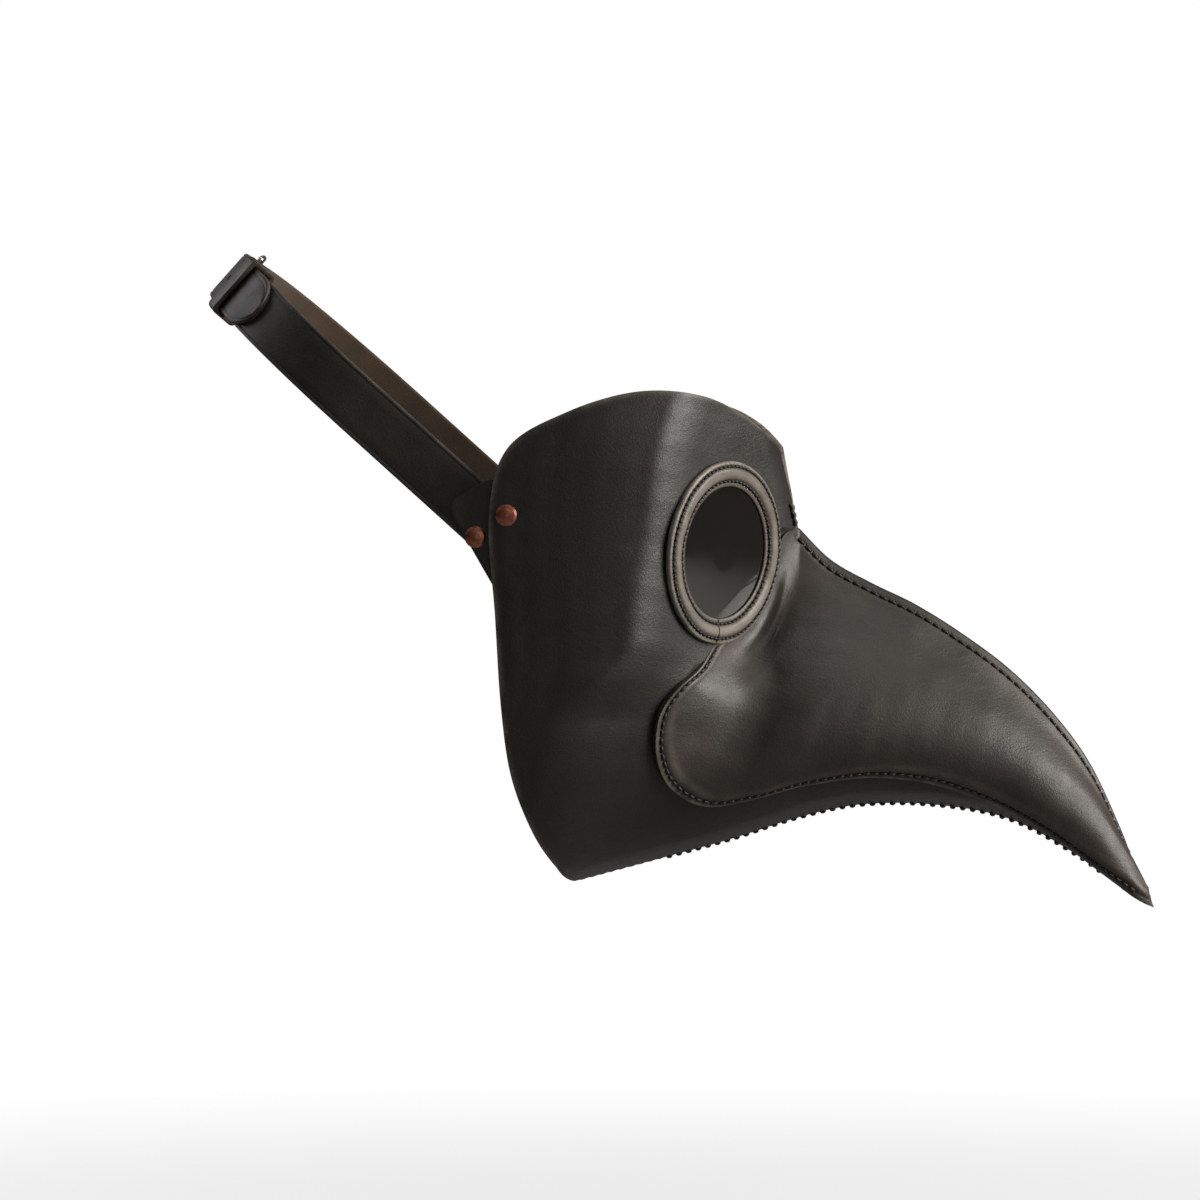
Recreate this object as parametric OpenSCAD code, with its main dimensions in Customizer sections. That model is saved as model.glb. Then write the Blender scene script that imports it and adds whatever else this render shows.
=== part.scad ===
// Leather beaked mask (plague doctor mask), worn on a head.
// +X points forward to the beak's tip, +Z is up, and the wearer's right side is -Y.
// The origin lies between the temples, at the height of the eyes and just behind the rear edge.

/* [Leather] */
// Thickness of the face and beak leather
leather_t = 2.4; // [2:0.1:2.8]
// Half width of the mask at the temples
temple_half_w = 86; // [84:0.5:88]

/* [Eyes] */
// Distance of each eye's centre in front of the temples
eye_x = 94; // [92:0.5:96]
// Distance of each eye's centre from the middle plane
eye_y = 44; // [42:0.5:46]
// Angle that each eye ring is turned from the side towards the front
eye_turn = 57; // [54:0.5:60]
// Outer radius of the eye ring
ring_r = 36; // [35:0.25:36.5]
// Radius of the clear opening of the eye ring
window_r = 26; // [25:0.25:26.5]
// Thickness of the lens
lens_t = 2; // [1.5:0.1:2.5]

/* [Stitching] */
// Distance from one stitch of the ridge to the next
ridge_pitch = 4; // [3.6:0.1:5]
// Distance from one stitch of the cheek edge to the next
edge_pitch = 3.4; // [3:0.1:5]
// Radius of the waxed thread
thread_r = 0.5; // [0.4:0.05:0.6]

/* [Head strap] */
// Width of the head strap
strap_w = 22; // [20:0.5:23]
// Thickness of the strap leather
strap_t = 2.2; // [2:0.1:2.2]
// Angle at which the strap rises from the temples to the back of the head
strap_rise = 42; // [36:1:50]
// Straight length of the strap on each side of the head
strap_side = 72; // [64:1:85]
// Shank radius of the copper rivets
rivet_r = 1.8; // [1.6:0.1:2]
// Cap radius of the copper rivets
rivet_cap_r = 4.2; // [4:0.1:4.4]

/* [Hidden] */

eye_dip = 3.4;       // the eye rings look slightly down
fit_gap = 0.05;      // radial clearance of a rivet in leather that turns on it
fixed_gap = 0.02;    // radial clearance of a rivet that is set tight
layer_gap = 0.4;     // air between two layers of leather
skive = 0.7 * leather_t; // how much the leather is thinned where it lies hidden under the beak panel
lift = leather_t + layer_gap; // how far the beak panel stands proud where it laps over
face_leather = "#2b2824";
beak_leather = "#4a463f";
ring_leather = "#6f6962";
thread_black = "#0c0b0a";
copper = "#9a4a33";
nickel = "#b9b6b0";

// ---- smooth curves through a few chosen points -------------------------------------------------
// Point at place t of a list, where t = 2.5 is halfway from point 2 to point 3
function spline(p, t) =
    let (n = len(p) - 1, i = min(n - 1, max(0, floor(t))), u = t - i,
         a = p[max(0, i - 1)], b = p[i], c = p[i + 1], d = p[min(n, i + 2)])
    0.5 * (2 * b + (c - a) * u + (2 * a - 5 * b + 4 * c - d) * u * u
           + (3 * b - a - 3 * c + d) * u * u * u);

// Height at x of an outline given as [x, z] points, with a smooth slope
function rise(p, i) =
    let (a = p[max(0, i - 1)], c = p[min(len(p) - 1, i + 1)]) (c[1] - a[1]) / (c[0] - a[0]);
function outline_z(p, x, i = 0) =
    (i < len(p) - 2 && x > p[i + 1][0]) ? outline_z(p, x, i + 1)
    : let (a = p[i], b = p[i + 1], w = b[0] - a[0], u = (x - a[0]) / w, v = 1 - u)
      a[1] * v * v * (1 + 2 * u) + b[1] * u * u * (1 + 2 * v)
      + w * u * v * (rise(p, i) * v - rise(p, i + 1) * u);

function clamp01(t) = min(1, max(0, t));
function ease(a, b, t) = let (u = clamp01((t - a) / (b - a))) u * u * (3 - 2 * u);
function soft_min(a, b, k) = let (h = max(k - abs(a - b), 0) / k) min(a, b) - h * h * k / 4;
function soft_max(a, b, k) = -soft_min(-a, -b, k);
function unit(v) = v / norm(v);

// ---- side outline ------------------------------------------------------------------------------
// Ridge of the beak, from the bridge of the nose to the tip
RIDGE = [[119.5, 10], [132, -2.4], [148, -11.6], [166, -20.4], [184, -31.6], [204, -46.6],
         [222, -65], [236, -84.6], [248, -110.5], [256, -131.5], [261, -141]];
// Keel, from the chin to the tip
KEEL = [[28, -132], [60, -123.4], [92, -114.6], [120, -105.6], [144, -100.6], [174, -100.6],
        [204, -106.4], [232, -121.6], [252, -136.6], [261, -141.6]];
bridge = RIDGE[0];
function ridge_z(x) = x < bridge[0] ? bridge[1] + 0.9 * (bridge[0] - x) : outline_z(RIDGE, x);
function keel_z(x) = outline_z(KEEL, max(x, 0));
// Front edge of the forehead, where the two face panels stand side by side
function brow_x(z) = 121.3 - 0.195 * z;

// ---- half width of the mask --------------------------------------------------------------------
// Side of the head, then the flat facet that carries the eye ring, then the brow
function facet_y(x, z) = eye_y - tan(eye_turn) * (x - eye_x) + 0.1 * z;
function head_y(x, z) =
    let (side = temple_half_w - 0.001 * pow(x - 22, 2) - 0.004 * pow(max(0, z - 28), 2),
         brow = 4 * (brow_x(z) - x),
         jaw = clamp01((-z - 45) / (-45 - keel_z(x))),
         flat = soft_min(soft_min(side, facet_y(x, z), 12), brow, 8))
    flat * pow(max(0, 1 - pow(jaw, 2.3)), 1 / 2.1);

// Beak: widest low down, rounded under the jaw and closed along the ridge
BEAK_W = [[60, 50], [90, 47], [112, 43.5], [130, 39], [150, 34.5], [175, 28.5], [200, 22.5],
          [222, 16.5], [240, 10.5], [252, 6], [261, 2]];
function beak_y(x, z) =
    let (top = ridge_z(x), t = clamp01((top - z) / (top - keel_z(x))))
    outline_z(BEAK_W, x) * pow(sin(180 * pow(t, 1.8)), 0.56);

// Distance from the eye's centre, measured in the plane of the ring
function eye_distance(x, z) = norm([(x - eye_x) / cos(eye_turn), z]);
// The beak grows out of the head with a soft fold, and leaves the seat of the eye ring flat
function half_w(x, z) =
    let (head = head_y(x, z), depth = max(0, ridge_z(x) - z), fold = 3 + min(17, 0.3 * depth))
    head + (soft_max(head, beak_y(x, z), fold) - head)
           * ease(ring_r, ring_r + 14, eye_distance(x, z));

// The outlines of the panels are drawn as seen from this far in front of the side
drawn_turn = 5;
function from_drawn(p) =
    let (guess = p[0] + tan(drawn_turn) * half_w(p[0], p[1]))
    [p[0] + tan(drawn_turn) * half_w(guess, p[1]), p[1]];

// Outer surface of the wearer's right half, pushed outwards by d along its normal.
// A seam of 0 turns the push into the middle plane, so that the two halves still meet there,
// and a shut of 1 brings the surface itself to that plane.
half_seam = 0.25;
function skin(x, z, d, seam = 1, shut = 0) =
    let (e = 0.4, h = max(half_seam, half_w(x, z) * (1 - shut)),
         n = unit([half_w(x - e, z) - half_w(x + e, z), -2 * e * seam,
                   half_w(x, z - e) - half_w(x, z + e)]),
         p = [x, -h, z] + d * n)
    [p[0], min(-half_seam, p[1]), p[2]];

// ---- closed sheets -----------------------------------------------------------------------------
// A solid between an outer and an inner grid of points, both rows by columns
function sheet_faces(r, c) =
    let (n = r * c)
    concat(
        [for (i = [0:r - 2], j = [0:c - 2]) each
            [[i * c + j, i * c + j + 1, (i + 1) * c + j + 1],
             [i * c + j, (i + 1) * c + j + 1, (i + 1) * c + j]]],
        [for (i = [0:r - 2], j = [0:c - 2]) each
            [[n + i * c + j, n + (i + 1) * c + j + 1, n + i * c + j + 1],
             [n + i * c + j, n + (i + 1) * c + j, n + (i + 1) * c + j + 1]]],
        [for (j = [0:c - 2]) each
            [[j, n + j, n + j + 1], [j, n + j + 1, j + 1],
             [(r - 1) * c + j, (r - 1) * c + j + 1, n + (r - 1) * c + j + 1],
             [(r - 1) * c + j, n + (r - 1) * c + j + 1, n + (r - 1) * c + j]]],
        [for (i = [0:r - 2]) each
            [[i * c, (i + 1) * c, n + (i + 1) * c], [i * c, n + (i + 1) * c, n + i * c],
             [i * c + c - 1, n + (i + 1) * c + c - 1, (i + 1) * c + c - 1],
             [i * c + c - 1, n + i * c + c - 1, n + (i + 1) * c + c - 1]]]);

module sheet(outer, inner) {
    rows = len(outer);
    columns = len(outer[0]);
    polyhedron([for (row = outer) each row, for (row = inner) each row],
               sheet_faces(rows, columns), convexity = 6);
}

// ---- face panel --------------------------------------------------------------------------------
// Edge that lies hidden under the beak panel, from the bridge round the eye and cheek to the tip
FACE_INNER = [[118, 10], [113.2, 2], [110.8, -9], [108, -20.6], [103, -31.4], [96.4, -39.4], [89, -45],
              [79, -55], [71, -68], [70, -79], [73, -86], [78, -89], [84, -90], [97, -88],
              [117, -82], [144, -78.6], [170, -81], [195, -88.6], [218, -100.4], [236, -113.6],
              [247, -124.6]];
// Free edge: brow corner, top, temple, rear edge, chin, then forward along the keel
FACE_OUTER = [[111.4, 43], [97, 55.4], [79, 62], [54, 62], [27, 54], [4, 40], [-3.2, 14],
              [-0.8, -26], [1.4, -60], [5.2, -87], [13.2, -109], [22, -123.4], [30, -131.4],
              [44, -127.8], [74, -119.6], [108, -109.6], [150, -100.2], [190, -102.8],
              [217, -112.6], [236, -124.2], [248, -133.8]];
chin_place = 12;   // place on FACE_OUTER where the keel begins
face_rows = 18;

function face_edge(t) =
    let (p = spline(FACE_OUTER, t)) t >= chin_place ? [p[0], keel_z(p[0])] : p;
function face_point(s, t) = spline(FACE_INNER, t) * (1 - s) + face_edge(t) * s;

module face_panel() {
    grid = [for (i = [0:face_rows]) [for (t = [0:0.5:len(FACE_OUTER) - 1])
            let (s = 1 - pow(1 - i / face_rows, 1.5), on_keel = ease(chin_place - 1, chin_place, t))
            [from_drawn(face_point(s, t)), on_keel * (i == face_rows ? 1 : 0), on_keel * ease(0.7, 1, s),
             -skive * (1 - ease(0, 0.16, s))]]];
    outer = [for (row = grid) [for (g = row) skin(g[0][0], g[0][1], g[3], 1, g[1])]];
    inner = [for (row = grid) [for (g = row)
             skin(g[0][0], g[0][1], -leather_t, 1 - 0.9 * g[2], g[1])]];
    color(face_leather) difference() {
        sheet(outer, inner);
        on_eye() translate([0, 0, -12]) cylinder(r = window_r - 1.5, h = 24, $fn = 96);
        temple_axis(temple_half_w + 9) cylinder(r = rivet_r + fit_gap, h = 20, $fn = 32);
    }
}

// ---- beak panel --------------------------------------------------------------------------------
// Places along the ridge, and the point of the panel's lower edge that belongs to each
BEAK_X = [119.6, 120.6, 122, 124, 127, 131, 137, 146, 159, 175, 192, 208, 223, 237, 248, 256, 260];
BEAK_EDGE = [[84.7, -37.4], [79, -45], [69.4, -52.6], [62, -63], [60.8, -78], [66.5, -91],
             [80, -98.2], [97, -96.4], [118, -90.8], [144, -87.2], [168, -89], [192, -96.2],
             [213, -106], [232, -118.6], [246, -129.4], [255, -136.8], [259.8, -140.6]];
// Rear edge, from the bridge round the front of the eye ring
BEAK_REAR = [[119.6, 10], [114, 6], [112.8, -6], [109, -19], [102, -30.8], [94, -36.8],
             [84.7, -37.4]];
beak_rows = 20;
beak_places = len(BEAK_X) - 1;

function beak_straight(s, t) =
    let (x = spline(BEAK_X, t)) [x, ridge_z(x)] * (1 - s) + spline(BEAK_EDGE, t) * s;
function beak_point(s, t) =
    from_drawn(beak_straight(s, t)
               + (spline(BEAK_REAR, s * (len(BEAK_REAR) - 1)) - beak_straight(s, 0)) * (1 - ease(0, 6, t)));
// The panel lies on the mask's own surface at the ridge and on top of the face panel at its edge
function beak_lift(s, t) =
    lift * ease(0.1, 0.5, max(s, 1 - ease(0, 4, t))) * (1 - ease(beak_places - 1.4, beak_places, t));

module beak_panel() {
    grid = [for (i = [0:beak_rows]) [for (t = [0:0.4:beak_places])
            let (s = i / beak_rows) [beak_point(s, t), beak_lift(s, t), ease(0, 0.12, s)]]];
    outer = [for (row = grid) [for (g = row) skin(g[0][0], g[0][1], g[1])]];
    inner = [for (row = grid) [for (g = row)
             skin(g[0][0], g[0][1], g[1] - leather_t, 0.1 + 0.9 * g[2])]];
    color(beak_leather) sheet(outer, inner);
}

// ---- eyes --------------------------------------------------------------------------------------
// Frame of the right eye: its floor is the face panel, and +Z points out along the ring's axis
module on_eye() {
    translate([eye_x, -eye_y, 0]) rotate([0, 0, eye_turn]) rotate([90 + eye_dip, 0, 0]) children();
}

ring_base = 0.3;     // the ring's underside above the face panel
ring_seat = 2.4;     // underside of the lip that holds the lens down
ring_edge_h = 1.8;   // height of the ring's outer wall
ring_lip_h = 3.2;    // height of the ring's inner wall
ring_crown = 1.7;    // how much the ring is rounded up between its two walls
lens_rebate = 4;     // how far the lens reaches under the ring
function ring_top(r) =
    let (u = (r - window_r) / (ring_r - window_r))
    ring_lip_h * (1 - u) + ring_edge_h * u + ring_crown * sin(180 * pow(u, 0.9));

module eye_ring() {
    steps = 14;
    crown = [for (i = [0:steps]) let (r = window_r + (ring_r - window_r) * i / steps)
             [r, ring_top(r)]];
    color(ring_leather) on_eye() rotate_extrude($fn = 96)
        polygon(concat(crown, [[ring_r, ring_base], [window_r + lens_rebate, ring_base],
                               [window_r + lens_rebate, ring_seat], [window_r, ring_seat]]));
}

module lens() {
    color("#15120f") on_eye() translate([0, 0, ring_base + 0.1])
        cylinder(r = window_r + lens_rebate - 0.2, h = min(lens_t, ring_seat - ring_base - 0.2), $fn = 96);
}

module eye_backing() {
    color(face_leather) on_eye() translate([0, 0, -2 * leather_t - 0.2]) difference() {
        cylinder(r = ring_r - 2.4, h = leather_t - layer_gap, $fn = 96);
        translate([0, 0, -1]) cylinder(r = window_r - 1.5, h = leather_t + 2, $fn = 96);
    }
}

// One stitch, lying along +X on the floor of its frame
module stitch(length) {
    translate([0, 0, thread_r + 0.4]) cube([length, 2 * thread_r, 2 * thread_r], center = true);
}

module ring_stitches(r, pitch) {
    count = round(2 * PI * r / pitch);
    slope = atan((ring_top(r + 0.5) - ring_top(r - 0.5)) / 1);
    for (i = [0:count - 1])
        rotate([0, 0, i * 360 / count]) translate([r, 0, ring_top(r)]) rotate([0, -slope, 0])
            rotate([0, 0, 90]) stitch(0.62 * pitch);
}

module eye_stitching() {
    color(thread_black) on_eye() {
        ring_stitches(window_r + 2.2, edge_pitch);
        ring_stitches(ring_r - 2, edge_pitch);
    }
}

// ---- seams -------------------------------------------------------------------------------------
// Splits a run of points into steps of one pitch: returns pairs of [point, direction]
function paced(p, pitch, i = 0, left = 0) =
    i >= len(p) - 1 ? []
    : let (step = norm(p[i + 1] - p[i]), d = unit(p[i + 1] - p[i]))
      left < step ? concat([[p[i] + d * left, d]],
                           paced(concat([p[i] + d * left], [for (k = [i + 1:len(p) - 1]) p[k]]),
                                 pitch, 0, pitch))
                  : paced(p, pitch, i + 1, left - step);

// Turns +X along d and +Z along n
module lay_on(point, d, n) {
    side = unit(cross(n, d));
    up = cross(d, side);
    multmatrix([[d[0], side[0], up[0], point[0]], [d[1], side[1], up[1], point[1]],
                [d[2], side[2], up[2], point[2]], [0, 0, 0, 1]]) children();
}

// Stitches along a row of the beak panel, on its outer surface
module beak_row(inset, from, to, pitch, low) {
    run = [for (t = [from:0.125:to])
           let (a = beak_point(low ? 1 : 0, t), b = beak_point(low ? 0.9 : 0.1, t),
                share = inset / norm(b - a) * 0.1, s = low ? 1 - share : share,
                p = beak_point(s, t))
           [skin(p[0], p[1], beak_lift(s, t)), skin(p[0], p[1], beak_lift(s, t) + 1)]];
    points = [for (r = run) r[0]];
    for (m = paced(points, pitch)) {
        near = nearest(points, m[0]);
        lay_on(m[0], m[1], unit(run[near][1] - run[near][0])) stitch(0.62 * pitch);
    }
}
function nearest(p, q) = let (d = [for (v = p) norm(v - q)], m = min(d)) search(m, d)[0];

module ridge_stitching() {
    color(thread_black) {
        beak_row(3.2, 1, beak_places - 0.6, ridge_pitch, false);
        mirror([0, 1, 0]) beak_row(3.2, 1, beak_places - 0.6, ridge_pitch, false);
    }
}

module cheek_stitching() {
    color(thread_black) beak_row(2.6, 0.4, beak_places - 1.2, edge_pitch, true);
}

// Whipped stitches that cross the keel from one jaw edge to the other
keel_drop = 1.3;     // how far below the keel's own line they lie
module keel_stitching() {
    run = [for (x = [70:1:240]) [x, 0, keel_z(x)]];
    color(thread_black) for (m = paced(run, ridge_pitch))
        lay_on(m[0], [m[1][0] * sin(20), cos(20), m[1][2] * sin(20)], [m[1][2], 0, -m[1][0]])
            translate([0, 0, keel_drop]) stitch(4.4);
}

// ---- temple rivets and strap tabs --------------------------------------------------------------
temple_x = 11;
temple_z = 14;
tab_d = 81.9;        // outer face of the strap tab, from the middle plane
strap_d = tab_d - leather_t - 0.1;          // outer face of the strap
strap_mid = strap_d - strap_t / 2;          // middle of the strap's thickness
cap_t = 1.1;
burr_t = 1;
tab_rise = 60;       // the tab's own direction
tab_long = 44;
tab_wide = 23;
tab_rivet_x = -12.4; // second rivet, from the temple rivet
tab_rivet_z = -8.4;

// Frame on the temple axis, with +Z pointing inwards from a distance d outside the middle plane
module temple_axis(d) {
    translate([temple_x, -d, temple_z]) rotate([-90, 0, 0]) children();
}

module rivet(head_d, end_d) {
    rotate_extrude($fn = 48) polygon([[0, -cap_t], [rivet_cap_r * 0.45, -cap_t * 0.92],
        [rivet_cap_r * 0.8, -cap_t * 0.62], [rivet_cap_r, -0.15], [rivet_cap_r, 0], [rivet_r, 0],
        [rivet_r, head_d - end_d], [0, head_d - end_d]]);
}

module burr() {
    difference() {
        cylinder(r = rivet_cap_r - 0.7, h = burr_t, $fn = 48);
        translate([0, 0, -1]) cylinder(r = rivet_r + fixed_gap, h = burr_t + 2, $fn = 32);
    }
}

temple_head_d = temple_half_w + 0.05;
burr_d = strap_d - strap_t - 0.1;

module temple_rivet() {
    color(copper) temple_axis(temple_head_d) rivet(temple_head_d, burr_d - burr_t - 0.4);
}
module temple_burr() {
    color(copper) temple_axis(burr_d) burr();
}
module at_tab_rivet() {
    translate([tab_rivet_x, 0, tab_rivet_z]) children();
}
module tab_rivet() {
    color(copper) at_tab_rivet() temple_axis(tab_d + 0.05) rivet(tab_d + 0.05, burr_d - burr_t - 0.4);
}
module tab_burr() {
    color(copper) at_tab_rivet() temple_axis(burr_d) burr();
}

module strap_tab() {
    corner = 5;
    color(face_leather) difference() {
        translate([temple_x, -tab_d, temple_z]) rotate([0, -(90 - tab_rise), 0])
            rotate([-90, 0, 0]) translate([4.5 - tab_wide, -16, 0]) linear_extrude(leather_t)
                translate([corner, corner]) offset(r = corner, $fn = 32)
                    square([tab_wide - 2 * corner, tab_long - 2 * corner]);
        temple_axis(tab_d + 5) cylinder(r = rivet_r + fit_gap, h = 12, $fn = 32);
        at_tab_rivet() temple_axis(tab_d + 5) cylinder(r = rivet_r + fixed_gap, h = 12, $fn = 32);
    }
}

// ---- head strap --------------------------------------------------------------------------------
// Frame of the strap's loop: it lies in the XY plane, starts at the temple axis and runs to -X
strap_low = -18.4;   // lower edge of the strap below the temple rivet
module on_loop() {
    translate([temple_x, 0, temple_z]) rotate([0, strap_rise, 0]) children();
}
// A place on the loop: u runs round the back of the head from its middle, n stands out from it
function on_back(u, n) =
    let (a = u / strap_mid * 180 / PI, far = strap_mid * PI / 2, r = strap_mid + n)
    abs(u) < far ? [-strap_side - r * cos(a), r * sin(a)]
    : [-strap_side + (abs(u) - far), sign(u) * r];
function band(path, t) =
    let (n = len(path) - 1,
         side = [for (i = [0:n]) let (d = unit(path[min(n, i + 1)] - path[max(0, i - 1)]))
                 [-d[1], d[0]] * t / 2])
    concat([for (i = [0:n]) path[i] + side[i]], [for (i = [n:-1:0]) path[i] - side[i]]);
module strap_band(path) {
    translate([0, 0, strap_low]) linear_extrude(strap_w)
        polygon(band([for (p = path) on_back(p[0], p[1])], strap_t));
}

// Buckle, in places on the loop
heel_u = -8;         // the bar that the strap is folded round
heel_n = -1.3;
front_u = 13;        // the bar that the prong rests on
front_n = 1.9;
bar_r = 1.3;
prong_r = 0.9;
fold_r = bar_r + 0.1 + strap_t / 2;
strap_end = strap_mid * PI / 2 + strap_side;

module strap_hole(u, n, long) {
    p = on_back(u, n);
    q = on_back(u + 1, n);
    translate([p[0], p[1], strap_low + strap_w / 2])
        rotate([0, 0, atan2(q[1] - p[1], q[0] - p[0])]) rotate([90, 0, 0])
            hull() for (x = [-long / 2, long / 2])
                translate([x, 0, 0]) cylinder(r = 1.4, h = 14, center = true, $fn = 24);
}

module temple_holes(y) {
    translate([0, y, 0]) rotate([90, 0, 0])
        cylinder(r = rivet_r + fit_gap, h = 12, center = true, $fn = 32);
    translate([0, y, 0]) rotate([0, -strap_rise, 0]) translate([tab_rivet_x, 0, tab_rivet_z])
        rotate([90, 0, 0]) cylinder(r = rivet_r + fixed_gap, h = 12, center = true, $fn = 32);
}

module buckle_strap() {
    main = [for (u = [-strap_end - 7, -strap_end, for (k = [-strap_mid * PI / 2:4:-22]) k]) [u, 0]];
    turn = [for (a = [115:-23:-115]) [heel_u + fold_r * cos(a), heel_n + fold_r * sin(a)]];
    back = [[-13, -3.3], [-17, -2.7], for (u = [-20:-4:-36]) [u, -strap_t - 0.25]];
    bar = on_back(heel_u, heel_n);
    color(face_leather) on_loop() difference() {
        strap_band(concat(main, [[-17, 0.1], [-13, 0.6]], turn, back));
        translate([bar[0], bar[1] + 1, strap_low + strap_w / 2]) cube([14, 11, 3.6], center = true);
        at_chape_rivets() rotate([0, 90, 0])
            cylinder(r = chape_shank_r + fit_gap, h = 20, center = true, $fn = 32);
        temple_holes(-strap_mid);
    }
}

module holed_strap() {
    top = 3.1;
    path = concat([for (u = [-62, -50]) [u, 2.5]], [[-40, 2.5], [-34, 2.6], [-28, top], [-22, top],
                  [-15, 3.3], [-9, 3.9], [-4, 3.2], [0, 2.2], [5, 0.9], [10, -0.4], [14, -1.1],
                  [20, -1.3], [30, -1.1], [42, -0.4]],
                  [for (u = [54:4:strap_mid * PI / 2]) [u, 0]], [[strap_end, 0], [strap_end + 7, 0]]);
    color(face_leather) on_loop() difference() {
        strap_band(path);
        strap_hole(1.5, 1.6, 11);
        for (u = [26:12:50]) strap_hole(u, 0, 0.1);
        strap_hole(-22, top, 0.1);
        temple_holes(strap_mid);
    }
}

// Two rivets that close the fold of the strap behind the buckle
chape_rivet_u = -23;
chape_shank_r = 1.2;
module at_chape_rivets() {
    p = on_back(chape_rivet_u, 0);
    for (w = [-6, 6])
        translate([p[0], p[1], strap_low + strap_w / 2 + w])
            rotate([0, 0, -chape_rivet_u / strap_mid * 180 / PI]) children();
}
module chape_rivets() {
    out = strap_t / 2 + 0.1;
    in = 1.5 * strap_t + 0.35;
    color(copper) on_loop() at_chape_rivets() rotate([0, 90, 0]) rotate_extrude($fn = 32)
        polygon([[0, -out - 0.6], [2, -out - 0.5], [2.6, -out], [chape_shank_r, -out], [chape_shank_r, in],
                 [2.6, in], [2.6, in + 0.45], [0, in + 0.65]]);
}

keeper_u = -36;
module strap_keeper() {
    p = on_back(keeper_u, 0);
    long = 9;
    inside_low = -1.5 * strap_t - 0.8;
    inside_high = 2.6 + strap_t / 2 + 0.5;
    wall = 1.8;
    color(face_leather) on_loop() translate([p[0], p[1], strap_low + strap_w / 2])
        rotate([0, 0, -keeper_u / strap_mid * 180 / PI])
            difference() {
                translate([-inside_high - wall, -long / 2, -strap_w / 2 - 0.4 - wall])
                    cube([inside_high - inside_low + 2 * wall, long, strap_w + 0.8 + 2 * wall]);
                translate([-inside_high, -long, -strap_w / 2 - 0.4])
                    cube([inside_high - inside_low, 2 * long, strap_w + 0.8]);
            }
}

// Frame of the buckle: +X along it from the heel bar to the front bar, +Z across the strap
module on_buckle() {
    a = on_back(heel_u, heel_n);
    b = on_back(front_u, front_n);
    on_loop() translate([a[0], a[1], strap_low + strap_w / 2])
        rotate([0, 0, atan2(b[1] - a[1], b[0] - a[0])]) children();
}
frame_long = norm(on_back(front_u, front_n) - on_back(heel_u, heel_n));
frame_half = strap_w / 2 + bar_r + 0.5;

module bar_between(a, b, r) {
    d = b - a;
    translate(a) rotate([0, acos(d[2] / norm(d)), atan2(d[1], d[0])])
        cylinder(r = r, h = norm(d), $fn = 32);
}

module buckle_frame() {
    corners = [[0, 0, -frame_half], [0, 0, frame_half], [frame_long, 0, frame_half],
               [frame_long, 0, -frame_half]];
    color(nickel) on_buckle() for (i = [0:3]) {
        bar_between(corners[i], corners[(i + 1) % 4], bar_r);
        translate(corners[i]) sphere(r = bar_r, $fn = 32);
    }
}

module buckle_prong() {
    rest = bar_r + prong_r + 0.08;
    lean = atan2(rest, frame_long);
    color(nickel) on_buckle() difference() {
        union() {
            cylinder(r = bar_r + 1.3, h = 2.8, center = true, $fn = 32);
            rotate([0, 0, lean]) rotate([0, 90, 0]) rotate_extrude($fn = 32)
                polygon([[0, 0], [prong_r, 0], [prong_r, frame_long + 2], [0.5, frame_long + 3],
                         [0, frame_long + 3]]);
        }
        cylinder(r = bar_r + fit_gap, h = 10, center = true, $fn = 32);
    }
}

// ---- assembly ----------------------------------------------------------------------------------
module other_side() {
    mirror([0, 1, 0]) children();
}

face_panel();  // face_panel_right
other_side() face_panel();  // face_panel_left
beak_panel();  // beak_panel_right
other_side() beak_panel();  // beak_panel_left
eye_ring();  // eye_ring_right
other_side() eye_ring();  // eye_ring_left
lens();  // lens_right
other_side() lens();  // lens_left
eye_backing();  // eye_backing_right
other_side() eye_backing();  // eye_backing_left
ridge_stitching();
keel_stitching();
cheek_stitching();  // cheek_stitching_right
other_side() cheek_stitching();  // cheek_stitching_left
eye_stitching();  // eye_stitching_right
other_side() eye_stitching();  // eye_stitching_left
temple_rivet();  // temple_rivet_right
other_side() temple_rivet();  // temple_rivet_left
temple_burr();  // temple_burr_right
other_side() temple_burr();  // temple_burr_left
strap_tab();  // strap_tab_right
other_side() strap_tab();  // strap_tab_left
tab_rivet();  // tab_rivet_right
other_side() tab_rivet();  // tab_rivet_left
tab_burr();  // tab_burr_right
other_side() tab_burr();  // tab_burr_left
buckle_strap();
holed_strap();
chape_rivets();
strap_keeper();
buckle_frame();
buckle_prong();
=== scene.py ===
# Leather plague doctor mask: the looks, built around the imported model.
# Outlines and half widths are in millimetres, and finished meshes are in metres.
import math

import bmesh
import bpy
import numpy as np
from mathutils import Matrix, Vector


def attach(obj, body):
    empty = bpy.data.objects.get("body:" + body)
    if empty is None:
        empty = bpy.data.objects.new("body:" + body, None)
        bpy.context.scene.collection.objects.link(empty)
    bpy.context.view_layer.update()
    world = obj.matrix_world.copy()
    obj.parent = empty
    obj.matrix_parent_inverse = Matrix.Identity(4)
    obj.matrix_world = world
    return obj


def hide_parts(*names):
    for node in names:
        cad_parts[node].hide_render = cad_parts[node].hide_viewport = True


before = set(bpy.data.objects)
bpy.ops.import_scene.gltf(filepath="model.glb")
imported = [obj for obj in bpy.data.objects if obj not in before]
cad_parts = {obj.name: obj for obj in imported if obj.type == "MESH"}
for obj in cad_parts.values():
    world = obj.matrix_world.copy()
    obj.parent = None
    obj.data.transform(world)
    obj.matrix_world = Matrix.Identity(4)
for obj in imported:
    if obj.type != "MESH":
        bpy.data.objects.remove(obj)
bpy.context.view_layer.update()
MM = 0.001

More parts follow.
